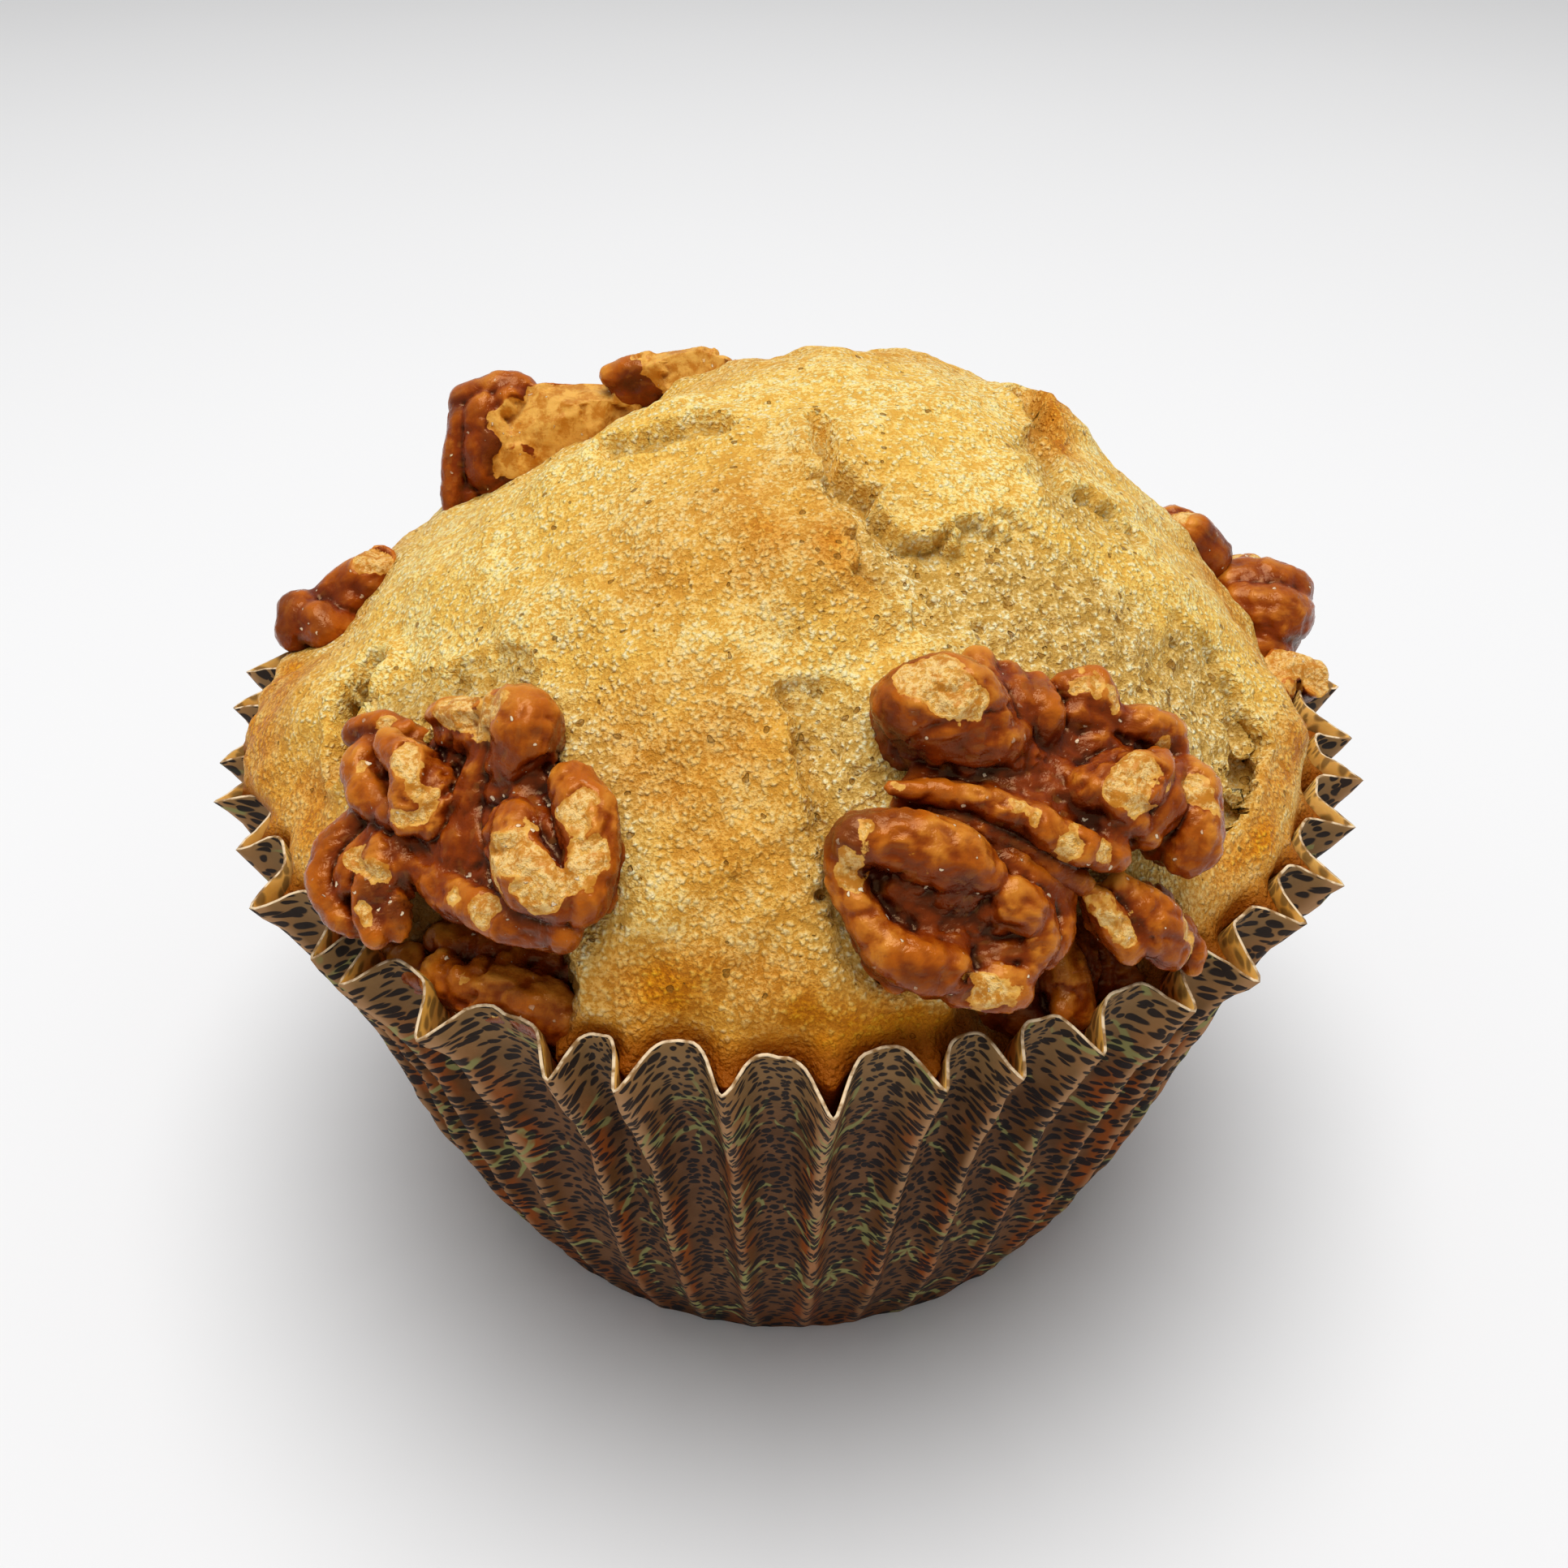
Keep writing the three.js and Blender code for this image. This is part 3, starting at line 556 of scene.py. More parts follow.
def make_dome():
    """The cake as a smooth closed form, with the flat map of its crust."""
    bpy.ops.object.select_all(action="DESELECT")
    bpy.ops.mesh.primitive_grid_add(x_subdivisions=CRUST_GRID, y_subdivisions=CRUST_GRID, size=2)
    cake = bpy.context.object
    cake.name = "cake_crust"
    bpy.ops.object.mode_set(mode="EDIT")
    bpy.ops.mesh.select_all(action="SELECT")
    bpy.ops.mesh.region_to_loop()
    for _ in range(SIDE_RINGS):
        bpy.ops.mesh.extrude_region_move(TRANSFORM_OT_translate={"value": (0, 0, -1)})
    bpy.ops.mesh.edge_face_add()
    bpy.ops.mesh.poke()
    bpy.ops.object.mode_set(mode="OBJECT")

    grid = places(cake)
    ring = np.round(-grid[:, 2])
    a, share = square_to_disc(grid[:, 0], grid[:, 1])
    out = np.sin(share * np.pi / 2)
    dome, outward = swollen_dome(a, out)

    # below the edge: round the lip, then down the inner folds of the case
    lip = np.clip(ring / 3, 0, 1)
    down = np.clip((ring - 3) / (SIDE_RINGS - 3), 0, 1) ** 1.6
    rim_z = CASE_HEIGHT - 0.2
    edge, _ = swollen_dome(a, np.ones(len(a)))
    edge_out = np.hypot(edge[:, 0], edge[:, 1])
    rim_out = inner_radius(CASE_HEIGHT)
    side_out = edge_out + (rim_out - edge_out) * (1 - np.cos(lip * np.pi / 2))
    side_z = edge[:, 2] + (rim_z - edge[:, 2]) * np.sin(lip * np.pi / 2)
    low = ring > 3
    side_z = np.where(low, rim_z * (1 - down) + (PAPER + 0.3) * down, side_z)
    side_out = np.where(low, inner_radius(side_z), side_out)
    # the batter has run part of the way into the creases of the paper
    turn = np.mod((a - math.radians(FIRST_PLEAT)) * PLEATS / (2 * np.pi), PLEATS)
    turn -= pleat_shift(turn) * side_z / CASE_HEIGHT
    side_out += 0.55 * pleat_depth(side_z) * (1 - pleat_fold(turn)) * lip * smoothstep(0, 12, side_z)
    side = np.stack([side_out * np.cos(a), side_out * np.sin(a), side_z], axis=1)
    points = np.where((ring > 0)[:, None], side, dome)
    points[(share < 1e-6) & (ring > 0)] = (0, 0, PAPER + 0.3)
    move_to(cake, points)
    take(cake)
    bpy.ops.object.mode_set(mode="EDIT")
    bpy.ops.mesh.select_all(action="SELECT")
    bpy.ops.mesh.normals_make_consistent(inside=False)
    bpy.ops.object.mode_set(mode="OBJECT")
    return cake, crust_map(a, out), outward, ring


def make_cutter(sockets):
    """The bays, the holes under the crust and a socket round each walnut, as one solid."""
    cutter = new_piece("cutter")
    for degrees, out_half, side_half, up_half in BAYS:
        a = math.radians(degrees)
        add_ball((BAY_RADIUS * math.cos(a), BAY_RADIUS * math.sin(a), BAY_HEIGHT), 1,
                 (out_half, side_half, up_half), (0, 0, a), 4)
    for radius, sunk, path in BURROWS:
        for start, end in zip(path, path[1:]):
            for t in np.linspace(0, 1, 7):
                at = np.array([math.radians(start[0] + (end[0] - start[0]) * t)])
                out = np.array([start[1] + (end[1] - start[1]) * t])
                place, outward = swollen_dome(at, out)
                add_ball((place - outward * sunk)[0], radius * (0.85 + 0.3 * math.sin(9 * t + radius * 20)))
    bpy.ops.object.mode_set(mode="OBJECT")
    bpy.ops.object.select_all(action="DESELECT")
    for socket in sockets:
        socket.select_set(True)
    cutter.select_set(True)
    bpy.context.view_layer.objects.active = cutter
    bpy.ops.object.join()
    whole = cutter.modifiers.new("whole", "REMESH")
    whole.mode = "VOXEL"
    whole.voxel_size = 0.35
    apply(cutter, whole)
    return cutter


def keep_largest(piece):
    """Deletes the crumbs that cutting has left loose."""
    where = places(piece)
    take(piece)
    bpy.ops.object.mode_set(mode="EDIT")
    bpy.ops.mesh.select_all(action="DESELECT")
    bpy.ops.object.mode_set(mode="OBJECT")
    piece.data.vertices[int(where[:, 2].argmin())].select = True
    bpy.ops.object.mode_set(mode="EDIT")
    bpy.ops.mesh.select_mode(type="VERT")
    bpy.ops.mesh.select_linked()
    bpy.ops.mesh.select_all(action="INVERT")
    bpy.ops.mesh.delete(type="VERT")
    bpy.ops.object.mode_set(mode="OBJECT")


def thin_below(piece, height, share):
    """Takes most of the faces out of the part that the case hides."""
    take(piece)
    bpy.ops.object.mode_set(mode="EDIT")
    bpy.ops.mesh.select_mode(type="FACE")
    bpy.ops.mesh.select_all(action="DESELECT")
    bpy.ops.object.mode_set(mode="OBJECT")
    centres = np.empty(len(piece.data.polygons) * 3, dtype=np.float32)
    piece.data.polygons.foreach_get("center", centres)
    piece.data.polygons.foreach_set("select", centres[2::3] < height)
    bpy.ops.object.mode_set(mode="EDIT")
    bpy.ops.mesh.decimate(ratio=share)
    bpy.ops.object.mode_set(mode="OBJECT")


def make_cake(material, kernels, sockets):
    cake, dome_map, outward, ring = make_dome()
    beads = np.vstack(kernels)
    spots = places(cake)

    # the crumb swells up a little round each walnut
    near = np.full(len(spots), 9.0)
    high = spots[:, 2] > HIDDEN_BELOW
    for centre, radius in zip(beads[:, :3], beads[:, 3]):
        near[high] = np.minimum(near[high], np.linalg.norm(spots[high] - centre, axis=1) - radius)
    collar = 0.6 * np.exp(-((np.maximum(near, 0) / 2.0) ** 2)) * (ring == 0)
    spots = spots + outward * collar[:, None]
    move_to(cake, spots)
    corners = [Vector(spot) for spot in spots]
    faces = [tuple(face.vertices) for face in cake.data.polygons]
    skin = BVHTree.FromPolygons(corners, faces)

    cutter = make_cutter(sockets)
    cut = cake.modifiers.new("cut", "BOOLEAN")
    cut.operation = "DIFFERENCE"
    cut.solver = "MANIFOLD"
    cut.object = cutter
    apply(cake, cut)
    bpy.data.objects.remove(cutter)
    even = cake.modifiers.new("even", "REMESH")
    even.mode = "VOXEL"
    even.voxel_size = CRUMB_SIZE
    apply(cake, even)
    soft = cake.modifiers.new("soft", "SMOOTH")
    soft.factor = 0.5
    soft.iterations = 5
    apply(cake, soft)
    keep_largest(cake)
    thin_below(cake, HIDDEN_BELOW, 0.04)

    where = places(cake)
    flat = np.empty((len(where), 2))
    opened = np.empty(len(where))
    for i, spot in enumerate(where):
        nearest, _, face, distance = skin.find_nearest(Vector(spot))
        loop = faces[face]
        shares = poly_3d_calc([corners[corner] for corner in loop], nearest)
        flat[i] = np.array(shares) @ dome_map[list(loop)]
        opened[i] = distance
    hidden = 1 - smoothstep(HIDDEN_BELOW + 0.5, HIDDEN_BELOW + 2, where[:, 2])
    height, brown, crumb, pit_shade = crust_shape(where, flat, opened)
    # the side down in the case: browned, and in the finish painted darker further down as shade in the case
    under = 1 - smoothstep(CASE_HEIGHT, EDGE_HEIGHT + 1.5, where[:, 2])
    brown = np.maximum(brown, under * (1 - 0.8 * smoothstep(0.5, 1.5, opened)))
    crumb *= 1 - 0.7 * under

    near = np.full(len(where), 9.0)
    high = where[:, 2] > HIDDEN_BELOW
    for centre, radius in zip(beads[:, :3], beads[:, 3]):
        near[high] = np.minimum(near[high], np.linalg.norm(where[high] - centre, axis=1) - radius)
    ring_of_crumb = 1 - smoothstep(0.8, 2.2, near + 0.8 * cloud(where, 1.5))
    crumb = np.maximum(crumb, 0.6 * ring_of_crumb * (1 - under))
    # how far the surface lies inside the cuts, which the finish paints as shade in the sockets and bays
    deep = smoothstep(0.6, 2.4, opened)

    normals = np.empty(len(where) * 3, dtype=np.float32)
    cake.data.vertices.foreach_get("normal", normals)
    move_to(cake, where + normals.reshape(-1, 3) * (height * (1 - hidden))[:, None])
    paint(cake, "bake_and_pit_shade", brown, crumb, pit_shade)
    paint(cake, "depth", under, deep, np.zeros(len(where)))
    finish_piece(cake, "crust", material, "cake")
    return cake


# ------------------------------------------------------------------- walnuts
# A kernel is placed by a point, the azimuth that it faces and how far it leans
# back. A lobe runs through places (right, up the slope, out, radius) in mm, and
# flesh shows where the skin has chipped off, given as place and radius.
#
# On the kernels at the front, lobes and chips are marked where the eye sees them:
# across and down in its picture, how far out of the kernel in mm, and the radius
# in the picture. A lobe without marks is set in mm, under reshaped.
KERNELS = {
    "walnut_front_left": dict(
        at=(-16, -24.5, 44.5), azimuth=-129, lean=50, core=(0.6, -0.6, -1.2, 7.4, 4.6, 2.0),
        marks=dict(
            knob=((638, 880, 2.5, 36), (645, 905, 2.4, 38), (628, 938, 1.8, 28)),
            broken=((535, 880, 2.0, 12), (560, 873, 2.4, 17), (595, 880, 2.6, 20), (615, 872, 2.6, 20)),
            neck=((602, 922, 1.6, 20), (590, 965, 1.0, 24), (578, 1010, 0.6, 26), (568, 1050, 0.6, 26)),
            back=(),
            strand=((538, 935, 0.9, 9), (552, 962, 0.9, 9), (560, 1000, 0.7, 9)),
            tube_wall=((452, 922, 1.4, 16), (442, 955, 1.7, 20), (457, 986, 1.8, 20), (486, 1006, 1.8, 14)),
            tube=(),
            dark_knob=((440, 902, 1.0, 16), (466, 893, 1.1, 14), (496, 900, 0.9, 12)),
            finger=(
                (705, 962, 1.5, 26), (716, 1002, 1.7, 30), (726, 1050, 1.6, 30), (722, 1098, 1.4, 26),
                (715, 1120, 1.1, 18),
            ),
            wing=((638, 1008, 2.3, 20), (632, 1045, 2.6, 30), (655, 1085, 2.5, 32), (686, 1113, 1.9, 20)),
            channel=((648, 985, 1.3, 18), (676, 1030, 1.5, 16), (696, 1085, 1.4, 16)),
            bridge=((618, 975, 1.1, 20), (662, 962, 1.2, 20)),
            low_ridge=(
                (512, 1058, 0.5, 17), (558, 1100, 0.9, 22), (620, 1130, 0.9, 22), (690, 1150, 0.7, 20),
            ),
            middle=((538, 1035, 0.2, 26), (560, 1080, 0.3, 26)),
            ear=(
                (442, 1015, 0.8, 18), (410, 1045, 1.0, 22), (400, 1085, 1.0, 20), (415, 1125, 0.8, 17),
                (432, 1148, 0.6, 10),
            ),
            ear_fold=((462, 1030, 1.3, 14), (433, 1060, 1.5, 14), (425, 1092, 1.3, 12)),
            ear_edge=(
                (466, 1036, 1.4, 14), (463, 1060, 1.7, 18), (450, 1092, 1.5, 14), (449, 1130, 1.2, 14),
                (460, 1152, 0.8, 11),
            ),
            arm=((470, 1030, 0.6, 18), (525, 1040, 0.5, 18)),
        ),
        reshaped=dict(
            back=((-5.9, 2.2, -0.6, 0.6), (-4.8, 2.3, 0.0, 0.7), (-3.2, 2.1, 0.6, 0.7)),
            tube=(
                (-6.3, 1.1, 2.3, 0.7), (-4.3, 0.7, 2.7, 0.9), (-3.2, -0.3, 2.7, 0.9),
                (-2.6, -2.0, 2.4, 0.6),
            ),
        ),
        chips=(
            (545, 868, 3.2, 24), (590, 872, 3.6, 24), (500, 935, 3.8, 20), (508, 970, 3.8, 18),
            (498, 1010, 3.2, 12), (600, 1045, 3.6, 18), (630, 1055, 4.0, 26), (655, 1095, 3.9, 26),
            (638, 1020, 3.6, 16), (702, 1015, 3.0, 15), (718, 1060, 3.0, 20), (722, 975, 2.8, 9),
            (560, 1108, 2.0, 14), (588, 1125, 2.0, 14), (432, 1060, 2.4, 13), (466, 1042, 2.6, 15),
            (458, 1070, 2.6, 10), (446, 1130, 2.0, 12), (470, 890, 1.9, 7), (446, 935, 2.4, 6),
        ),
    ),
    "walnut_front_left_low": dict(
        at=(-13.5, -29, 36.4), azimuth=-115, lean=40, core=(-1.6, 0.8, -2.0, 6.4, 3.4, 1.8),
        marks=dict(
            worm=(
                (545, 1202, 0.8, 25), (582, 1222, 1.0, 29), (632, 1226, 1.0, 30), (680, 1246, 1.0, 31),
                (700, 1266, 0.6, 25),
            ),
            small=((500, 1188, 0.4, 20), (517, 1206, 0.4, 16)),
            top=((548, 1160, -0.6, 20), (600, 1176, -0.4, 24), (655, 1186, -0.4, 20)),
            back=(),
            nub=((565, 1204, 1.8, 12), (572, 1208, 1.8, 11)),
        ),
        reshaped=dict(
            back=((-9.6, -1.0, -1.0, 0.8), (-7.3, -1.4, -0.8, 0.8)),
        ),
        chips=((566, 1210, 2.4, 8), (600, 1245, 1.6, 9)),
    ),
    "walnut_front_right_upper": dict(
        at=(12.5, -24.5, 47.5), azimuth=-60, lean=50, core=(0, -0.6, -1.4, 7.2, 4.6, 2.2),
        marks=dict(
            head=((1130, 868, 1.3, 46), (1163, 862, 1.9, 54), (1202, 872, 1.9, 44)),
            tail=((1165, 908, 1.4, 30), (1214, 910, 1.9, 27), (1252, 909, 1.7, 19)),
            fold_a=((1206, 818, 0.4, 17), (1218, 850, 1.1, 22), (1222, 880, 1.0, 18)),
            fold_b=((1244, 834, 0.6, 18), (1251, 868, 1.3, 23), (1262, 898, 1.1, 17)),
            fold_c=((1274, 848, 0.8, 18), (1289, 880, 1.5, 23), (1284, 908, 1.0, 15)),
            crest=((1320, 847, 0.9, 19), (1348, 853, 1.3, 23), (1366, 876, 1.1, 19)),
            crest_low=((1326, 882, 0.9, 18), (1362, 893, 0.9, 15)),
            dark_knob=(
                (1384, 893, 0.9, 19), (1415, 895, 1.3, 27), (1441, 907, 1.3, 19), (1449, 925, 1.0, 11),
            ),
            fibre_a=((1308, 938, 0.6, 13), (1345, 917, 0.9, 12), (1382, 926, 0.9, 10)),
            fibre_b=((1300, 912, 0.5, 14), (1310, 950, 0.8, 14), (1352, 957, 1.1, 13)),
            wing_top=(
                (1130, 957, -0.1, 11), (1200, 961, 0.3, 15), (1280, 977, 0.8, 20), (1342, 1010, 1.2, 22),
            ),
            wing=(
                (1102, 970, 0.5, 10), (1180, 977, 1.1, 13), (1260, 1002, 1.7, 17), (1330, 1040, 1.9, 20),
                (1378, 1054, 1.7, 14),
            ),
            wing_under=(
                (1112, 992, -0.7, 12), (1200, 1010, -0.1, 18), (1288, 1060, 0.3, 20),
                (1336, 1090, 0.3, 13),
            ),
            block=((1300, 962, 0.5, 24), (1350, 982, 1.3, 26), (1366, 1022, 1.5, 24)),
            stump=((1424, 936, 2.4, 17), (1405, 960, 2.9, 29), (1376, 981, 2.9, 21), (1400, 1012, 2.3, 14)),
            stump_side=((1441, 950, 1.6, 17), (1433, 990, 2.0, 24), (1416, 1020, 1.8, 20)),
            finger=(
                (1451, 946, 1.1, 14), (1476, 975, 1.8, 26), (1478, 1020, 1.6, 31), (1470, 1049, 1.4, 27),
            ),
        ),
        chips=(
            (1140, 832, 3.4, 22), (1165, 850, 4.0, 20), (1195, 868, 4.0, 20), (1412, 945, 4.2, 24),
            (1385, 975, 4.2, 24), (1400, 1000, 3.6, 12), (1255, 995, 3.0, 13), (1290, 1015, 3.2, 15),
            (1330, 1045, 3.2, 17), (1372, 1058, 2.8, 14), (1480, 965, 3.4, 16), (1494, 990, 3.0, 13),
            (1325, 838, 2.0, 9), (1352, 842, 2.3, 9), (1372, 856, 2.2, 8), (1442, 912, 2.4, 9),
            (1106, 962, 1.2, 10),
        ),
    ),
    "walnut_front_right_lower": dict(
        at=(7.5, -30.5, 43.5), azimuth=-74, lean=40, core=(0.2, -0.4, -1.2, 4.8, 4.0, 1.8),
        marks=dict(
            top=(
                (1062, 1036, 1.1, 33), (1112, 1036, 1.7, 35), (1170, 1055, 2.1, 36), (1207, 1076, 1.7, 27),
            ),
            rim=(
                (1048, 1042, 0.7, 22), (1046, 1082, 0.5, 20), (1063, 1122, 0.7, 20), (1092, 1166, 1.1, 26),
                (1132, 1190, 1.5, 28), (1172, 1193, 1.5, 23),
            ),
            under=((1104, 1095, 0.5, 16), (1160, 1111, 0.7, 18), (1206, 1106, 0.9, 16)),
            basin_a=((1108, 1132, -0.4, 18), (1160, 1152, -0.2, 19), (1202, 1176, 0.1, 16)),
            basin_b=((1150, 1130, -0.6, 20), (1225, 1142, -0.2, 23)),
            side=((1284, 1120, 1.2, 15), (1281, 1160, 1.1, 18), (1263, 1196, 0.9, 16)),
            knob=((1252, 1110, 1.8, 26), (1263, 1118, 1.7, 25)),
            bottom=((1180, 1216, 0.5, 19), (1226, 1216, 1.1, 26), (1252, 1214, 0.9, 20)),
            strip=((1214, 1180, 0.6, 17), (1250, 1176, 0.7, 16)),
            slope=((1180, 1018, -0.4, 20), (1250, 1068, 0.3, 24), (1300, 1108, 0.3, 20)),
            limb=((1310, 1100, 0.0, 18), (1305, 1140, 0.2, 18), (1290, 1175, 0.3, 16)),
        ),
        chips=(
            (1065, 1018, 2.8, 15), (1130, 1058, 3.8, 14), (1140, 1075, 3.6, 11), (1042, 1060, 1.8, 13),
            (1045, 1085, 1.6, 11), (1170, 1185, 2.9, 9), (1228, 1228, 2.2, 22),
        ),
    ),
    "walnut_front_right_chip": dict(
        at=(19, -27.5, 40.4), azimuth=-52, lean=30, core=(-1, 0.4, -0.6, 2.4, 1.8, 1.2),
        marks=dict(
            wedge=((1345, 1102, 0.5, 9), (1363, 1122, 0.8, 16), (1392, 1166, 0.8, 18)),
            body=(
                (1380, 1092, 0.6, 13), (1397, 1112, 0.8, 20), (1425, 1136, 1.3, 31), (1446, 1162, 1.1, 25),
            ),
            end=((1464, 1140, 0.8, 12), (1474, 1172, 0.8, 12), (1470, 1192, 0.6, 8)),
        ),
        chips=(
            (1350, 1108, 1.4, 12), (1368, 1135, 1.9, 16), (1392, 1165, 1.9, 14), (1462, 1145, 2.0, 12),
            (1474, 1175, 1.9, 12),
        ),
    ),
    "walnut_front_right_low": dict(
        at=(13, -29, 36.6), azimuth=-66, lean=40, core=(1.6, 0.6, -2.0, 5.6, 3.2, 1.8),
        marks=dict(
            lobe=((1298, 1166, -0.1, 21), (1314, 1210, 0.6, 29), (1324, 1244, 0.6, 25)),
            low=((1250, 1254, -0.6, 22), (1287, 1262, -0.4, 19)),
            dark=(),
            nub=((1308, 1246, 1.6, 10), (1314, 1250, 1.5, 9)),
        ),
        reshaped=dict(
            dark=((5.4, -0.9, -1.0, 1.0), (8.0, -1.6, -0.9, 0.8)),
        ),
        chips=((1308, 1250, 2.2, 6),),
    ),
    "walnut_back_left": dict(
        at=(-17, 15, 48.5), azimuth=-90, lean=90, core=(-0.2, 1.4, -3, 6.2, 3.0, 3), fold=0.3, waxy=1.0,
        lobes=(
            ((-6.0, 2.0, 2.3, 1.2), (-4.2, 2.0, 3.0, 1.2), (-2.4, 2.0, 3.2, 1.2)),
            ((-4.4, 0.3, 2.0, 1.3), (-4.5, -0.6, 0.6, 1.4), (-4.6, -1.4, -1.2, 1.3)),
            ((-6.2, 0.5, 1.4, 1.0), (-6.6, -0.8, -0.4, 0.9), (-7.0, -2.2, -2.6, 0.7),
             (-7.1, -3.0, -4.0, 0.5)),
            ((-2.6, 0.6, 2.9, 1.0), (-2.4, -0.4, 1.0, 1.0), (-2.4, -1.4, -1.2, 1.1)),
            ((-1.4, 1.0, 2.2, 1.4), (1.8, 1.0, 2.6, 1.5), (5.2, 1.0, 2.7, 1.3)),
            ((-1.2, 0.4, 0.8, 1.7), (1.6, 0.4, 1.2, 1.8), (4.6, 0.4, 1.6, 1.4)),
            ((-1.0, -0.2, -0.8, 1.6), (2.0, 0.0, -0.4, 1.6)),
        ),
        flesh=(
            (2.2, -0.6, 2.8, 2.2), (5.0, -0.2, 2.6, 1.8), (0.2, -0.8, 2.2, 1.8), (1.2, -1.4, 0.8, 1.8),
            (3.6, -1.2, 1.4, 1.8), (-2.3, -1.2, 1.6, 1.0), (-2.4, -2.2, -0.6, 0.9),
        ),
    ),
    "walnut_back_left_top": dict(
        at=(-9, 16, 51.5), azimuth=-90, lean=90, core=(1.0, 0.6, 0.4, 4, 1.8, 1.4), fold=0.2, waxy=1.0,
        lobes=(
            ((-3.3, 0.2, 1.5, 0.8), (-1.0, 0.2, 2.2, 1.0), (1.4, -0.2, 2.4, 1.1),
             (3.4, -0.6, 2.8, 1.1), (4.6, -1.0, 3.4, 0.8)),
            ((-1.8, 0, 1.2, 0.7), (1.2, -0.4, 1.3, 0.9), (3.2, -0.8, 1.8, 0.9)),
        ),
        flesh=((0.8, -0.8, 2.6, 1.5), (2.6, -1.2, 2.8, 1.8), (4.2, -1.4, 3.4, 1.4), (-0.8, 0.0, 3.2, 0.6)),
    ),
    "walnut_left": dict(
        at=(-33, 4.5, 40), azimuth=-90, lean=90, core=(1.2, -0.2, -0.8, 2.4, 2.6, 1.4), fold=0.4,
        lobes=(
            ((-0.6, 0.2, 0.4, 1.5), (-0.9, -0.8, -0.3, 1.3)),
            ((0.9, -0.8, 0.3, 1.4), (1.4, -1.6, 0.1, 1.2)),
            ((1.2, 1.5, 0.9, 1.2), (3.4, 2.2, 2.2, 1.3), (4.6, 2.6, 3.0, 1.1)),
        ),
        flesh=((4.6, 1.8, 4.2, 1.2),),
    ),
    "walnut_right_upper": dict(
        at=(28, 8, 43.5), azimuth=-90, lean=90, core=(-0.4, 0.2, -0.8, 2, 2.2, 1.8), fold=0.3,
        lobes=(
            ((-0.4, -0.2, 1.4, 1.5), (1.2, 0, -0.3, 1.5)),
            ((-1.0, 2.0, 1.2, 1.2), (0.8, 2.2, 0.2, 1.3)),
        ),
        flesh=((-0.8, 0.6, 2.8, 0.9),),
    ),
    "walnut_right": dict(
        at=(33, 6.5, 40), azimuth=-90, lean=90, core=(-0.8, -0.2, -0.6, 3.2, 3.2, 1.8), fold=0.3,
        lobes=(
            ((-2.0, 0.8, 1.3, 1.5), (0.2, 1.0, 1.3, 1.8), (2.0, 0.8, 0.6, 1.7)),
            ((-1.6, -1.2, 0.3, 1.8), (0.6, -1.6, 0.1, 2.1), (1.9, -0.6, -0.2, 1.7)),
            ((-2.2, 3.0, 1.2, 1.0), (0.2, 3.4, 0.9, 1.1)),
            ((-0.6, -3.0, -1.4, 1.5), (0.4, -3.2, -1.8, 1.4)),
        ),
        flesh=((-2.2, 2.6, 2.3, 0.8), (0.4, 3.2, 2.0, 0.7)),
    ),
    "walnut_right_crumb": dict(
        at=(34, 0, 38.3), azimuth=-90, lean=90, core=(-0.2, 0.4, 0, 1.4, 1.8, 0.9), fold=0.5,
        lobes=(
            ((0.7, 1.4, 0.4, 0.9), (1.2, 0.2, 0.2, 1.0), (1.3, -1.2, 0.0, 0.8)),
            ((-0.9, 0.4, 0.3, 1.0), (-1.2, -1.2, -0.2, 1.0)),
        ),
        flesh=((0.9, 0.8, 1.2, 1.3), (1.4, -0.6, 0.9, 1.2), (-1.0, -0.6, 0.9, 0.9)),
    ),
    "walnut_back": dict(
        at=(7, 29.5, 43), azimuth=77, lean=45, core=(0, 0, -1.4, 6, 4.4, 2),
        lobes=(
            ((-4.6, 2.6, 1.2, 1.5), (-2.2, 3.2, 1.6, 1.5)),
            ((-1.0, 3.0, 1.4, 1.3), (2.0, 2.8, 1.4, 1.3)),
            ((3.2, 2.2, 1.4, 1.3), (4.8, 0.4, 1.2, 1.3)),
            ((-5.2, 0.2, 0.8, 1.2), (-4.4, -2.6, 0.8, 1.2)),
            ((-2.8, -0.4, 1.8, 1.3), (2.4, 0.6, 2.0, 1.3)),
            ((-2.0, -3.0, 0.8, 1.3), (2.6, -2.4, 1.0, 1.3)),
            ((3.8, -1.4, 1.0, 1.1), (4.6, -2.4, 0.8, 1.1)),
        ),
        flesh=((-3.4, 3.2, 2.6, 1.4), (0.4, -2.8, 2.2, 1.3), (4.6, 0.8, 2.4, 1.0)),
    ),
    "walnut_back_low": dict(
        at=(-9.5, 31.5, 40.6), azimuth=107, lean=35, core=(0, 0.2, -0.8, 3.6, 2.6, 1.7),
        lobes=(
            ((-2.4, 1.2, 0.8, 1.2), (-0.4, 1.4, 1.0, 1.2)),
            ((1.0, 1.2, 1.0, 1.1), (2.6, -0.2, 0.8, 1.1)),
            ((-2.6, -0.8, 0.6, 1.1), (0.8, -0.8, 1.0, 1.1)),
        ),
        flesh=((1.6, 0.8, 1.8, 1.0),),
    ),
}

BEAD_STEP = 0.5
BODY_STEP = 3
BODY_INWARD = 0.9
KERNEL_VOXEL = 0.17
LOBE_RELIEF = 0.62
CORE_RISE = 0.6
SOCKET_ROOM = -0.4


def forward():
    """The way that the eye looks."""
    tilt = math.radians(LOOK_DOWN)
    return np.array([0, math.cos(tilt), -math.sin(tilt)])


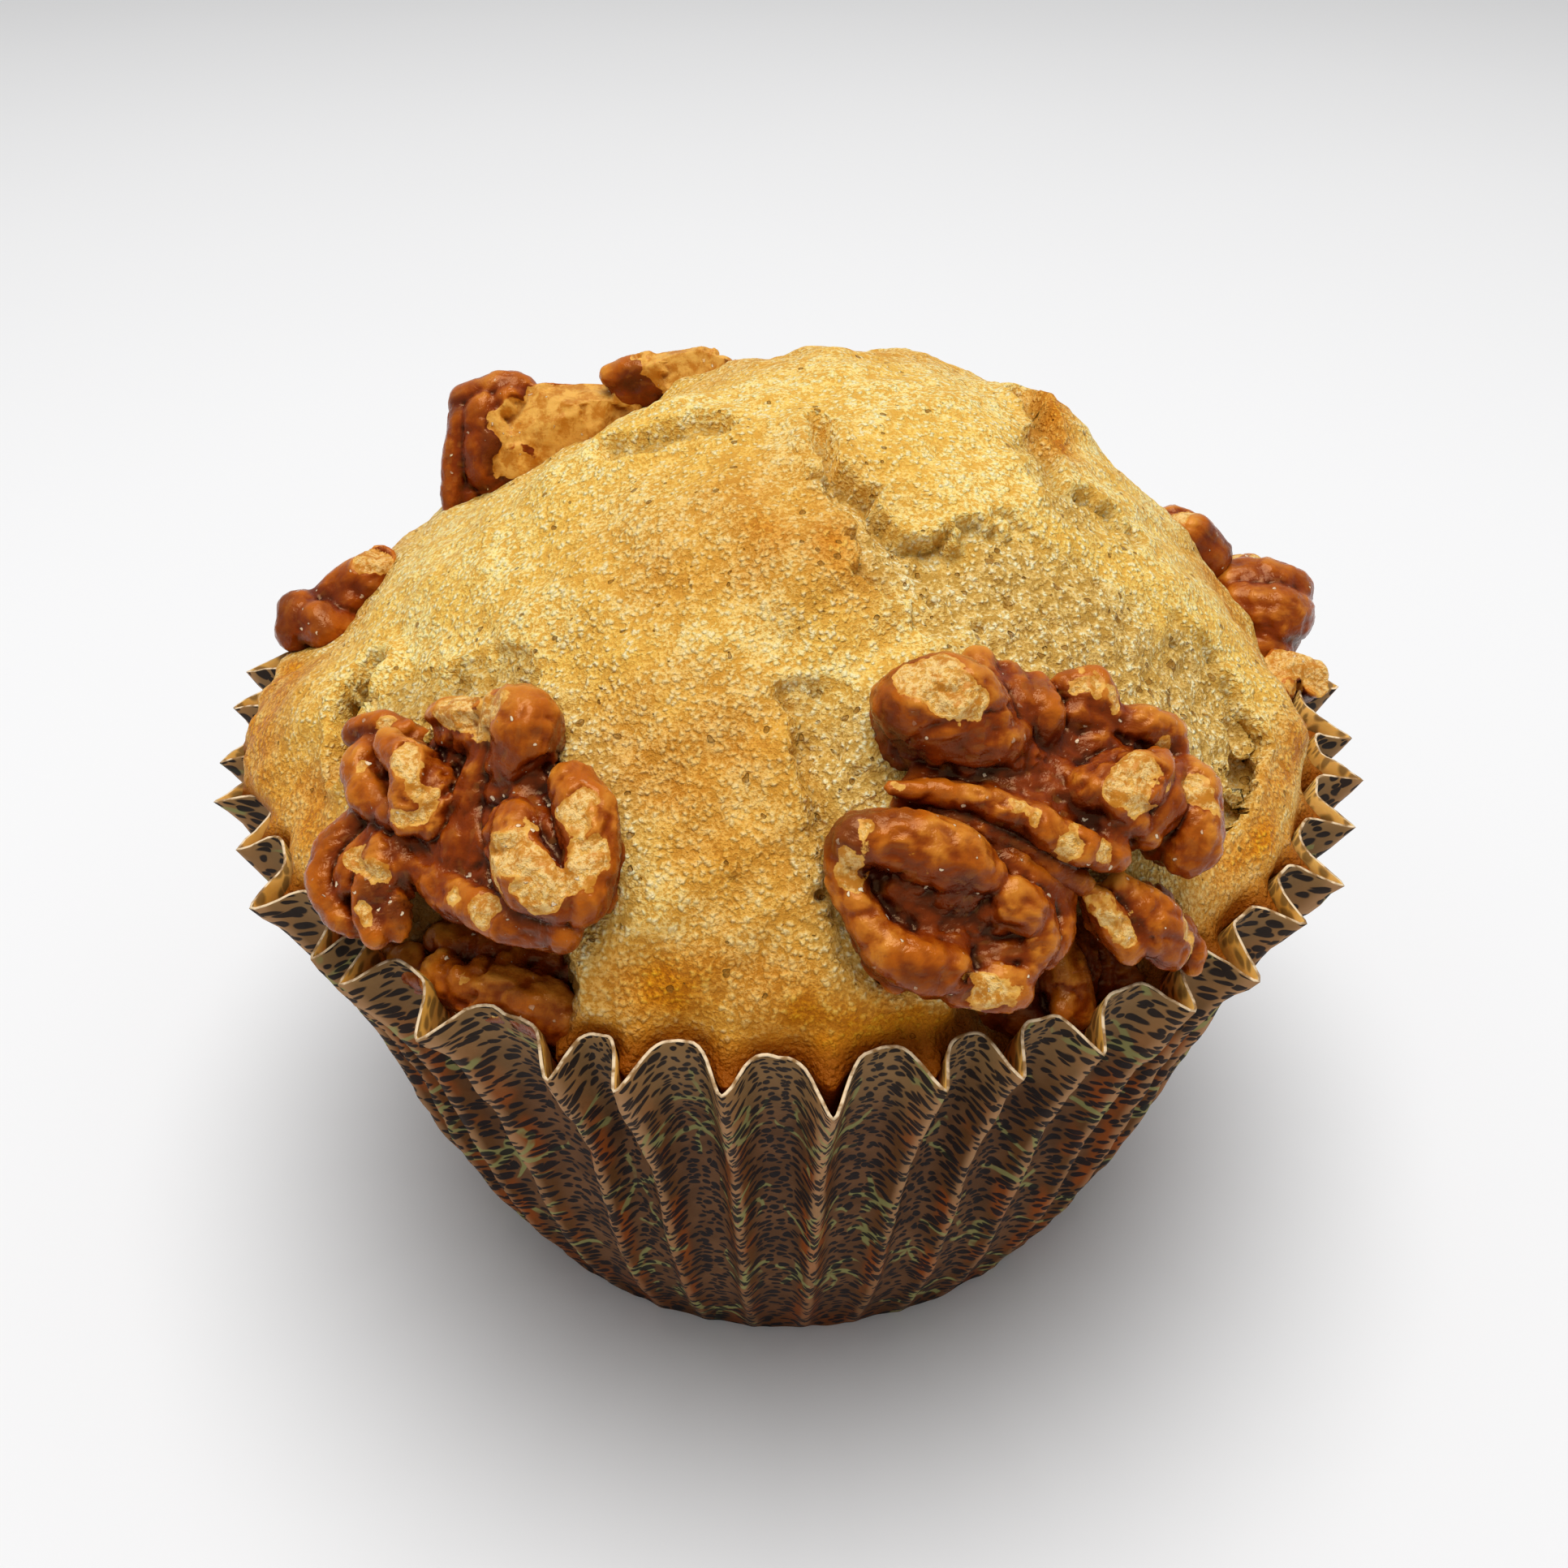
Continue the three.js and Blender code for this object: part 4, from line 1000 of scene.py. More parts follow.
def in_kernel(kernel, across, down, out, breadth):
    """A mark in the eye's picture as a place and radius in the kernel's own axes, to 0.1 mm."""
    axes, at = kernel_frame(kernel)
    base = at + axes[2] * out
    way = sight_line(across, down)
    from_eye = way * ((base - np.array(EYE)) @ axes[2] / (way @ axes[2]))
    right, up, _ = axes @ (np.array(EYE) + from_eye - base)
    radius = breadth * (from_eye @ forward()) / FOCAL_PIXELS
    return tuple(round(float(side), 1) for side in (right, up, out, radius))


def lobes_of(kernel):
    if "marks" not in kernel:
        return kernel["lobes"]
    reshaped = kernel.get("reshaped", {})
    return [
        reshaped[name] if name in reshaped else [in_kernel(kernel, *mark) for mark in marks]
        for name, marks in kernel["marks"].items()
    ]


def flesh_of(kernel):
    if "chips" not in kernel:
        return kernel["flesh"]
    return [in_kernel(kernel, *mark) for mark in kernel["chips"]]


def kernel_frame(kernel):
    azimuth = math.radians(kernel["azimuth"])
    lean = math.radians(kernel["lean"])
    out = np.array([math.cos(azimuth) * math.cos(lean), math.sin(azimuth) * math.cos(lean), math.sin(lean)])
    right = np.array([-math.sin(azimuth), math.cos(azimuth), 0.0])
    up = np.cross(out, right)
    return np.stack([right, up, out]), np.array(kernel["at"], dtype=float)


def through(path):
    """Points on a smooth curve through a lobe's places, radius included."""
    knots = np.array(path, dtype=float)
    knots = np.vstack([2 * knots[0] - knots[1], knots, 2 * knots[-1] - knots[-2]])
    made = []
    for p0, p1, p2, p3 in zip(knots, knots[1:], knots[2:], knots[3:]):
        step = BEAD_STEP * min(p1[3], p2[3])
        count = max(2, int(np.linalg.norm(p2[:3] - p1[:3]) / step))
        t = np.linspace(0, 1, count, endpoint=False)[:, None]
        a = 2 * p1 + (p2 - p0) * t
        b = (2 * p0 - 5 * p1 + 4 * p2 - p3) * t**2
        c = (3 * p1 - p0 - 3 * p2 + p3) * t**3
        made.append((a + b + c) / 2)
    made.append(knots[-2][None])
    return np.vstack(made)


def kernel_beads(kernel):
    """Every ball of a kernel's lobes in the muffin's frame: x, y, z, radius, then its lobe's run."""
    axes, at = kernel_frame(kernel)
    made = []
    for path in lobes_of(kernel):
        beads = through(path)
        # broad lobes that sink into the kernel's body
        growth = 0.18 * beads[:, 3] + 0.08
        beads[:, 2] -= 0.8 * growth
        beads[:, 3] += growth
        run = np.gradient(beads[:, :3], axis=0) @ axes
        run /= np.linalg.norm(run, axis=1)[:, None] + 1e-9
        made.append(np.hstack([beads[:, :3] @ axes + at, beads[:, 3:], run]))
    return np.vstack(made)


def new_piece(name):
    """An empty mesh at the origin, open in edit mode."""
    bpy.ops.object.select_all(action="DESELECT")
    bpy.ops.mesh.primitive_ico_sphere_add(subdivisions=1, radius=1)
    piece = bpy.context.object
    piece.name = name
    bpy.ops.object.mode_set(mode="EDIT")
    bpy.ops.mesh.select_all(action="SELECT")
    bpy.ops.mesh.delete(type="VERT")
    return piece


def add_ball(place, radius, stretch=(1, 1, 1), turn=(0, 0, 0), fineness=2):
    bpy.ops.mesh.primitive_ico_sphere_add(
        subdivisions=fineness, radius=radius, location=tuple(place), scale=stretch, rotation=turn)


def raw_kernel(name, kernel):
    """A kernel's core and lobes as overlapping balls in one mesh."""
    nut = new_piece(name + "_kernel")
    axes, at = kernel_frame(kernel)
    core = kernel["core"]
    turn = Matrix(axes.T.tolist()).to_euler()
    add_ball((np.array(core[:3]) + (0, 0, CORE_RISE)) @ axes + at, 1, core[3:], turn, 4)
    beads = kernel_beads(kernel)
    for x, y, z, radius, *_ in beads:
        add_ball((x, y, z), radius)
    # the kernel's body fills the ground between its lobes
    middle = np.array(core[:3]) @ axes + at
    for *spot, radius, _, _, _ in beads[::BODY_STEP]:
        inward = middle - np.array(spot)
        inward -= axes[2] * (inward @ axes[2])
        length = np.linalg.norm(inward)
        shift = inward / (length + 1e-9) * min(BODY_INWARD, length)
        add_ball(np.array(spot) + shift - axes[2] * (0.6 * radius + 0.4), 0.95 * radius + 0.35)
    bpy.ops.object.mode_set(mode="OBJECT")
    return nut


def remesh(piece, voxel):
    whole = piece.modifiers.new("whole", "REMESH")
    whole.mode = "VOXEL"
    whole.voxel_size = voxel
    apply(piece, whole)


def vertex_normals(piece):
    normals = np.empty(len(piece.data.vertices) * 3, dtype=np.float32)
    piece.data.vertices.foreach_get("normal", normals)
    return normals.reshape(-1, 3).astype(float)


def make_socket(nut):
    """A rough copy of a kernel, a little larger, that cuts its socket in the cake."""
    socket = nut.copy()
    socket.data = nut.data.copy()
    bpy.context.collection.objects.link(socket)
    remesh(socket, 0.4)
    move_to(socket, places(socket) + vertex_normals(socket) * SOCKET_ROOM)
    return socket


def neighbours_mean(values, edges, counts):
    total = np.zeros_like(values)
    for column in range(values.shape[1]):
        total[:, column] = np.bincount(edges[:, 0], values[edges[:, 1], column], len(values))
        total[:, column] += np.bincount(edges[:, 1], values[edges[:, 0], column], len(values))
    return total / counts[:, None]


def relaxed_places(piece, rounds):
    where = places(piece)
    edges = np.empty(len(piece.data.edges) * 2, dtype=np.int32)
    piece.data.edges.foreach_get("vertices", edges)
    edges = edges.reshape(-1, 2)
    counts = np.bincount(edges.ravel(), minlength=len(where)).astype(float)
    relaxed = where
    for _ in range(rounds):
        relaxed = neighbours_mean(relaxed, edges, counts)
    return relaxed


def ridges(piece, rounds):
    """How far each vertex stands proud of its surroundings, in mm."""
    return np.einsum("ij,ij->i", places(piece) - relaxed_places(piece, rounds), vertex_normals(piece))


def level_lobes(piece, out):
    """Flattens the lobes and fills the ground between them, so that they grow out
    of one body, and gives how sharp each valley was."""
    where = places(piece)
    valley = smoothstep(0.02, 0.09, -ridges(piece, 6))
    proud = (where - relaxed_places(piece, 130)) @ out
    levelled = LOBE_RELIEF * np.tanh(proud / LOBE_RELIEF)
    move_to(piece, where + (levelled - proud)[:, None] * out)
    return valley


def make_kernel(name, kernel, nut, material):
    axes, at = kernel_frame(kernel)
    beads = kernel_beads(kernel)
    remesh(nut, KERNEL_VOXEL)
    soft = nut.modifiers.new("soft", "SMOOTH")
    soft.factor = 0.5
    soft.iterations = 10
    apply(nut, soft)
    valley = level_lobes(nut, axes[2])

    # folds and wrinkles that run along the lobes
    where = places(nut)
    normals = vertex_normals(nut)
    tree = KDTree(len(beads))
    for i, bead in enumerate(beads):
        tree.insert(bead[:3], i)
    tree.balance()
    found = [tree.find(spot) for spot in where]
    nearest = np.array([index for _, index, _ in found])
    off_lobe = np.array([away for _, _, away in found]) - beads[nearest, 3]
    run = beads[nearest, 4:7]
    slid = where - 0.75 * run * np.einsum("ij,ij->i", where, run)[:, None]
    drift = np.stack([cloud(where + 30 * i, 2.2, 1) for i in (1, 2, 3)], axis=1)
    creases = np.empty(len(where))
    for i, spot in enumerate(where + 0.7 * drift):
        near, _ = noise.voronoi(Vector(spot) / 2.9)
        creases[i] = near[1] - near[0]
    body = smoothstep(0.1, 0.9, off_lobe)
    streaks = cloud(slid, 0.5, 2)
    folds = kernel.get("fold", 1.0)
    height = -folds * (0.06 + 0.2 * body) * (1 - smoothstep(0, 0.22, creases))
    height += 0.25 * cloud(where, 2.4, 2) + folds * (0.035 + 0.05 * body) * (1 - 2.5 * np.abs(streaks))
    height += folds * 0.3 * np.minimum(np.abs(cloud(where + 50, 2.4, 3)), 0.35)
    height += 0.03 * cloud(slid, 0.22, 2) - 0.2 * valley

    # flat crumbly places where the skin and some of the flesh have chipped off
    ragged = cloud(where, 1.6, 4)
    flesh_spots = np.array(flesh_of(kernel))
    middles = flesh_spots[:, :3] @ axes + at
    insides = [
        1.5 * radius + 0.2 - np.linalg.norm(where - middle, axis=1) + 0.9 * ragged
        for middle, radius in zip(middles, flesh_spots[:, 3])
    ]
    field = sum(np.exp(2.5 * np.clip(inside, -4, 4)) for inside in insides)
    flesh = smoothstep(-0.2, 0.7, np.log(field) / 2.5)
    waxy = kernel.get("waxy", 0.0)
    where = where + normals * (height * (1 - 0.7 * flesh))[:, None]
    for turn, inside in enumerate(insides):
        patch = inside > 0
        if patch.sum() < 5:
            continue
        facing = (
            normals[patch].mean(axis=0) + 0.3 * axes[0] * math.sin(5 * turn)
            + 0.3 * axes[1] * math.cos(3 * turn))
        facing /= np.linalg.norm(facing)
        over = where @ facing - np.percentile(where[patch] @ facing, 60)
        chip = smoothstep(-0.1, 0.3, inside)
        where = where - facing * (np.clip(over, 0, 0.8) * chip)[:, None]
    crumbly = (cloud(where + 9, 0.9, 3) * 0.16 - 0.05) * (1 - 0.8 * waxy)
    where = where + normals * (smoothstep(0.65, 0.9, flesh) * crumbly)[:, None]
    move_to(nut, where)
    # the ridges at two sizes, the share facing up and the valleys go to the finish, which paints them into
    # the skin as light and shade
    fine = ridges(nut, 12) / 0.3
    broad = ridges(nut, 110) / 1.6
    facing_up = vertex_normals(nut)[:, 2]
    paint(nut, "husk", flesh, broad * 0.5 + 0.5, cloud(where + 20, 3.5, 2) * 0.5 + 0.5)
    paint(nut, "grain", streaks * 0.5 + 0.5, fine * 0.5 + 0.5, facing_up * 0.5 + 0.5)
    paint(nut, "cleft_shade", valley, np.full(len(where), waxy), np.zeros(len(where)))
    finish_piece(nut, "walnut", material, name)
    return nut


# ------------------------------------------------------------------ finishes
class Finish:
    """A material and short ways to add its nodes."""

    def __init__(self, name, roughness, specular=0.5):
        self.material = bpy.data.materials.new(name)
        self.material.use_nodes = True
        self.tree = self.material.node_tree
        self.shader = self.tree.nodes["Principled BSDF"]
        self.shader.inputs["Roughness"].default_value = roughness
        self.shader.inputs["Specular IOR Level"].default_value = specular

    def node(self, kind, **settings):
        made = self.tree.nodes.new(kind)
        for key, value in settings.items():
            setattr(made, key, value)
        return made

    def link(self, out, into):
        self.tree.links.new(out, into)

    def fill(self, socket, value):
        if isinstance(value, bpy.types.NodeSocket):
            self.link(value, socket)
        else:
            socket.default_value = value

    def math(self, operation, a, b=0.0, clamp=False):
        made = self.node("ShaderNodeMath", operation=operation, use_clamp=clamp)
        self.fill(made.inputs[0], a)
        self.fill(made.inputs[1], b)
        return made.outputs[0]

    def span(self, value, low, high, to_low=0.0, to_high=1.0):
        made = self.node("ShaderNodeMapRange", interpolation_type="SMOOTHSTEP")
        for socket, item in zip(made.inputs, (value, low, high, to_low, to_high)):
            self.fill(socket, item)
        return made.outputs["Result"]

    def mix(self, share, a, b, blend="MIX"):
        made = self.node("ShaderNodeMix", data_type="RGBA", blend_type=blend)
        self.fill(made.inputs["Factor"], share)
        for name, value in (("A", a), ("B", b)):
            socket = next(s for s in made.inputs if s.name == name and s.type == "RGBA")
            self.fill(socket, value if isinstance(value, bpy.types.NodeSocket) else (*value, 1.0))
        return next(s for s in made.outputs if s.type == "RGBA")

    def object_mm(self):
        place = self.node("ShaderNodeTexCoord").outputs["Object"]
        scaled = self.node("ShaderNodeVectorMath", operation="SCALE")
        self.link(place, scaled.inputs[0])
        scaled.inputs["Scale"].default_value = 1 / MM
        return scaled.outputs[0]

    def noise(self, place, size, detail=2.0, roughness=0.5, distortion=0.0):
        made = self.node("ShaderNodeTexNoise")
        self.link(place, made.inputs["Vector"])
        made.inputs["Scale"].default_value = 1 / size
        made.inputs["Detail"].default_value = detail
        made.inputs["Roughness"].default_value = roughness
        made.inputs["Distortion"].default_value = distortion
        return made.outputs["Fac"]

    def cells(self, place, size, feature="F1", **settings):
        made = self.node("ShaderNodeTexVoronoi", feature=feature, **settings)
        self.link(place, made.inputs["Vector"])
        made.inputs["Scale"].default_value = 1 / size
        return made

    def shaken(self, place, size, reach):
        """The place moved about by soft noise, so that a pattern on it isn't regular."""
        made = self.node("ShaderNodeTexNoise")
        self.link(place, made.inputs["Vector"])
        made.inputs["Scale"].default_value = 1 / size
        made.inputs["Detail"].default_value = 1.0
        moved = self.node("ShaderNodeVectorMath", operation="MULTIPLY_ADD")
        self.link(made.outputs["Color"], moved.inputs[0])
        moved.inputs[1].default_value = (2 * reach,) * 3
        self.link(place, moved.inputs[2])
        return moved.outputs[0]

    def shares(self, name):
        read = self.node("ShaderNodeAttribute", attribute_name=name)
        parts = self.node("ShaderNodeSeparateColor")
        self.link(read.outputs["Color"], parts.inputs[0])
        return parts.outputs[0], parts.outputs[1], parts.outputs[2]

    def bump(self, height, depth, strength=1.0, under=None):
        made = self.node("ShaderNodeBump")
        self.fill(made.inputs["Height"], height)
        made.inputs["Distance"].default_value = depth * MM
        made.inputs["Strength"].default_value = strength
        if under is not None:
            self.link(under, made.inputs["Normal"])
        return made.outputs["Normal"]

    def colour(self, socket):
        self.link(socket, self.shader.inputs["Base Color"])

    def normal(self, socket):
        self.link(socket, self.shader.inputs["Normal"])


def crust_finish():
    f = Finish("baked_crust", 0.5, 0.22)
    f.shader.inputs["Specular Tint"].default_value = (1.0, 0.72, 0.32, 1)
    mm = f.object_mm()
    brown, crumb, pit_shade = f.shares("bake_and_pit_shade")
    under, deep, _ = f.shares("depth")
    shaken = f.shaken(mm, 0.3, 0.14)
    rounded = f.span(f.cells(shaken, 0.4).outputs["Distance"], 0.62, 0.08)
    fine = f.noise(mm, 0.2, 2, 0.6)
    soft = f.noise(mm, 1.1, 4, 0.65)
    broad = f.noise(mm, 4.5, 3, 0.55)

    # small bubbles of baked batter: a mottled golden tone, painted cream on the bubbles' tops as a painted
    # highlight and darker golden between them as painted shade, following the bump's height
    proud = f.math("ADD", f.math("MULTIPLY", rounded, 0.34), f.math("MULTIPLY", fine, 0.85))
    proud = f.math("ADD", proud, f.math("MULTIPLY", f.math("SUBTRACT", soft, 0.5), 0.8))
    high = f.span(proud, 0.52, 0.86)
    low = f.span(proud, 0.56, 0.34)
    golden = f.mix(f.span(broad, 0.36, 0.62), (0.94, 0.61, 0.125), (1.0, 0.78, 0.27))
    golden = f.mix(high, golden, (1.0, 0.88, 0.50))
    golden = f.mix(low, golden, (0.79, 0.42, 0.060))
    toast = f.mix(high, (0.73, 0.26, 0.006), (0.88, 0.44, 0.022))
    toast = f.mix(low, toast, (0.49, 0.145, 0.002))
    colour = f.mix(brown, golden, toast)
    pale = f.mix(high, (0.80, 0.52, 0.15), (1.0, 0.90, 0.54))
    pale = f.mix(low, pale, (0.52, 0.285, 0.050))
    colour = f.mix(crumb, colour, pale)

    # open pores, larger and closer in the crumb, painted dark inside as painted shade
    pores = f.cells(f.shaken(mm, 0.5, 0.2), 0.95)
    pick = f.node("ShaderNodeSeparateColor")
    f.link(pores.outputs["Color"], pick.inputs[0])
    in_crust = f.span(pick.outputs[0], 0.45, 1.0, 0.0, 0.22)
    in_crumb = f.span(pick.outputs[1], 0.4, 1.0, 0.0, 0.26)
    reach = f.math("ADD", in_crust, f.math("MULTIPLY", crumb, in_crumb))
    pore = f.span(f.math("SUBTRACT", reach, pores.outputs["Distance"]), 0.0, 0.05)
    colour = f.mix(f.math("MULTIPLY", pore, 0.75), colour, (0.28, 0.11, 0.008))
    # painted shade in the pits, at the steps and in the tears
    colour = f.mix(f.math("MULTIPLY", pit_shade, 0.8), colour, (0.36, 0.175, 0.022))
    # painted shade deep in the sockets and bays
    colour = f.mix(f.math("MULTIPLY", deep, 0.9), colour, (0.13, 0.048, 0.008))
    # the side in the case: browned, and painted darker further down as painted shade
    side = f.mix(f.span(under, 0.35, 1.0), (0.62, 0.215, 0.008), (0.30, 0.075, 0.003))
    colour = f.mix(
        f.math("MULTIPLY", under, f.math("SUBTRACT", 1.0, f.math("MULTIPLY", deep, 0.7))),
        colour, side)
    f.colour(colour)
    height = f.math("ADD", f.math("MULTIPLY", rounded, 0.5), f.math("MULTIPLY", fine, 0.7))
    height = f.math("ADD", height, f.math("MULTIPLY", soft, 0.8))
    height = f.math("SUBTRACT", height, f.math("MULTIPLY", pore, 1.2))
    f.normal(f.bump(height, 0.25, 1.0))
    f.shader.inputs["Subsurface Weight"].default_value = 0.12
    f.shader.inputs["Subsurface Radius"].default_value = (1.0, 0.5, 0.2)
    f.shader.inputs["Subsurface Scale"].default_value = 0.8 * MM
    return f.material


def walnut_finish():
    f = Finish("walnut_skin", 0.22, 0.45)
    f.shader.inputs["Specular Tint"].default_value = (1.0, 0.6, 0.3, 1)
    mm = f.object_mm()
    flesh, broad, tone = f.shares("husk")
    # the grain attribute also holds the fine ridges and the share facing up, which are painted in below as
    # light and shade
    streak, fine_ridge, up = f.shares("grain")
    cleft_shade, waxy, _ = f.shares("cleft_shade")
    vein = f.noise(mm, 1.6, 4, 0.65, 0.8)
    fine = f.noise(mm, 0.3, 3, 0.6)
    # painted light and shade: the skin is painted paler on its ridges, and a little on the sides that face
    # up, and darker in its hollows; the veins vary its tone at random
    painted_light_and_tone = f.math("ADD", f.math("MULTIPLY", broad, 0.9), f.math("MULTIPLY", up, 0.35))
    painted_light_and_tone = f.math("ADD", painted_light_and_tone, f.math("MULTIPLY", f.math("SUBTRACT", fine_ridge, 0.5), 0.5))
    painted_light_and_tone = f.math("ADD", painted_light_and_tone, f.math("MULTIPLY", f.math("SUBTRACT", vein, 0.5), 0.35))
    skin = f.mix(f.span(painted_light_and_tone, 0.44, 0.80), (0.030, 0.002, 0.0003), (0.22, 0.028, 0.001))
    skin = f.mix(f.span(painted_light_and_tone, 0.72, 1.03), skin, (0.50, 0.118, 0.005))
    skin = f.mix(
        f.math("MULTIPLY", f.span(painted_light_and_tone, 0.80, 1.12), f.span(tone, 0.42, 0.64)),
        skin, (0.70, 0.27, 0.030))
    skin = f.mix(f.math("MULTIPLY", f.span(tone, 0.4, 0.15), 0.7), skin, (0.080, 0.010, 0.005))
    skin = f.mix(f.math("MULTIPLY", f.span(streak, 0.6, 0.8), 0.2), skin, (0.54, 0.19, 0.03))
    # painted shade: the clefts between the lobes are painted near black
    skin = f.mix(f.math("MULTIPLY", cleft_shade, 0.75), skin, (0.030, 0.002, 0.0003))

    # where the skin has chipped off: amber at the edge, then tan and cream flesh
    patchy = f.math("SUBTRACT", f.noise(mm, 1.2, 5, 0.72), 0.5)
    bare = f.math(
        "ADD", flesh,
        f.math("MULTIPLY", patchy, f.math("SUBTRACT", 1.1, f.math("MULTIPLY", waxy, 0.8))))
    toned = f.noise(mm, 0.9, 5, 0.68, 0.3)
    meat = f.mix(f.span(toned, 0.38, 0.60), (0.55, 0.20, 0.016), (0.80, 0.42, 0.080))
    torn = f.math("MULTIPLY", f.span(flesh, 0.62, 0.85), f.span(toned, 0.40, 0.54))
    torn = f.math("MULTIPLY", torn, f.math("SUBTRACT", 1.0, waxy))
    granule = f.math("ADD", f.span(fine, 0.42, 0.54), f.span(bare, 0.66, 0.5, 0.0, 0.7), clamp=True)
    meat = f.mix(f.math("MULTIPLY", f.math("MULTIPLY", torn, 0.85), granule), meat, (0.95, 0.65, 0.25))
    # painted shade: the flesh too is painted darker in hollows and on the sides that face down
    meat = f.mix(f.span(painted_light_and_tone, 0.64, 0.35), meat, (0.28, 0.075, 0.004))
    shown = f.span(bare, 0.42, 0.52)
    colour = f.mix(shown, skin, meat)
    dust = f.cells(f.shaken(mm, 0.35, 0.2), 0.62)
    pick = f.node("ShaderNodeSeparateColor")
    f.link(dust.outputs["Color"], pick.inputs[0])
    reach = f.span(pick.outputs[0], 0.55, 1.0, 0.0, 0.24)
    fleck = f.span(f.math("SUBTRACT", reach, dust.outputs["Distance"]), 0.0, 0.05)
    gathered = f.span(f.noise(mm, 2.6, 2), 0.4, 0.6)
    fleck = f.math("MULTIPLY", fleck, f.math("ADD", 0.12, f.math("MULTIPLY", gathered, 0.85)))
    colour = f.mix(fleck, colour, (0.92, 0.74, 0.50))
    f.colour(colour)
    gloss = f.span(f.noise(mm, 0.9, 2), 0.35, 0.65, 0.13, 0.3)
    f.link(f.math("ADD", gloss, f.math("MULTIPLY", shown, 0.2)), f.shader.inputs["Roughness"])
    grooves = f.math("MULTIPLY", streak, f.math("SUBTRACT", 1.0, flesh))
    height = f.math("ADD", f.math("MULTIPLY", vein, 0.45), f.math("MULTIPLY", fine, 0.2))
    height = f.math("ADD", height, f.math("MULTIPLY", grooves, 0.3))
    height = f.math("ADD", height, f.math("MULTIPLY", fleck, 0.6))
    height = f.math(
        "ADD", height,
        f.math("MULTIPLY", f.math("MULTIPLY", f.math("SUBTRACT", fine, 0.5), torn), 1.2))
    f.normal(f.bump(height, 0.2, 1.0))
    f.shader.inputs["Subsurface Weight"].default_value = 0.06
    f.shader.inputs["Subsurface Radius"].default_value = (1.0, 0.3, 0.08)
    f.shader.inputs["Subsurface Scale"].default_value = 0.5 * MM
    return f.material


def spot_print(f, sheet, softness):
    """Dark spots on the sheet, longer along it than across: 1 inside a spot."""
    drawn = f.node("ShaderNodeVectorMath", operation="MULTIPLY")
    f.link(f.shaken(sheet, 1.6, 0.5), drawn.inputs[0])
    drawn.inputs[1].default_value = (1 / 1.04, 1 / 0.59, 1)
    cells = f.cells(drawn.outputs[0], 1.0, voronoi_dimensions="2D")
    cells.inputs["Randomness"].default_value = 0.85
    pick = f.node("ShaderNodeSeparateColor")
    f.link(cells.outputs["Color"], pick.inputs[0])
    limit = f.span(pick.outputs[0], 0.0, 1.0, 0.27, 0.46)
    return f.span(f.math("SUBTRACT", limit, cells.outputs["Distance"]), -softness, softness)


def sprig_print(f, sheet):
    """Thin curved rays round scattered middles: 1 on a ray."""
    cells = f.cells(sheet, 7.0, voronoi_dimensions="2D")
    away = f.node("ShaderNodeVectorMath", operation="SUBTRACT")
    f.link(f.shaken(sheet, 2.0, 0.5), away.inputs[0])
    f.link(cells.outputs["Position"], away.inputs[1])
    parts = f.node("ShaderNodeSeparateXYZ")
    f.link(away.outputs[0], parts.inputs[0])
    reach = f.node("ShaderNodeVectorMath", operation="LENGTH")
    f.link(away.outputs[0], reach.inputs[0])
    far = reach.outputs["Value"]
    pick = f.node("ShaderNodeSeparateColor")
    f.link(cells.outputs["Color"], pick.inputs[0])
    turn = f.math("ARCTAN2", parts.outputs[1], parts.outputs[0])
    curl = f.math("MULTIPLY", far, f.math("SUBTRACT", pick.outputs[0], 0.5))
    turn = f.math("ADD", turn, f.math("ADD", curl, f.math("MULTIPLY", pick.outputs[1], 6.3)))
    ray = f.math("ABSOLUTE", f.math("SINE", f.math("MULTIPLY", turn, 2.5)))
    off = f.math("DIVIDE", f.math("MULTIPLY", ray, far), 2.5)
    length = f.math("ADD", 1.7, f.math("MULTIPLY", pick.outputs[2], 2.3))
    on = f.math("MULTIPLY", f.span(off, 0.30, 0.16), f.span(far, length, f.math("SUBTRACT", length, 0.3)))
    return f.math("MULTIPLY", on, f.span(f.noise(sheet, 2.0, 1), 0.3, 0.45))


def sheet_place(f):
    uv = f.node("ShaderNodeUVMap")
    middle = f.node("ShaderNodeVectorMath", operation="SUBTRACT")
    f.link(uv.outputs[0], middle.inputs[0])
    middle.inputs[1].default_value = (0.5, 0.5, 0)
    sheet = f.node("ShaderNodeVectorMath", operation="SCALE")
    f.link(middle.outputs[0], sheet.inputs[0])
    sheet.inputs["Scale"].default_value = SHEET_WIDTH
    return sheet.outputs[0]


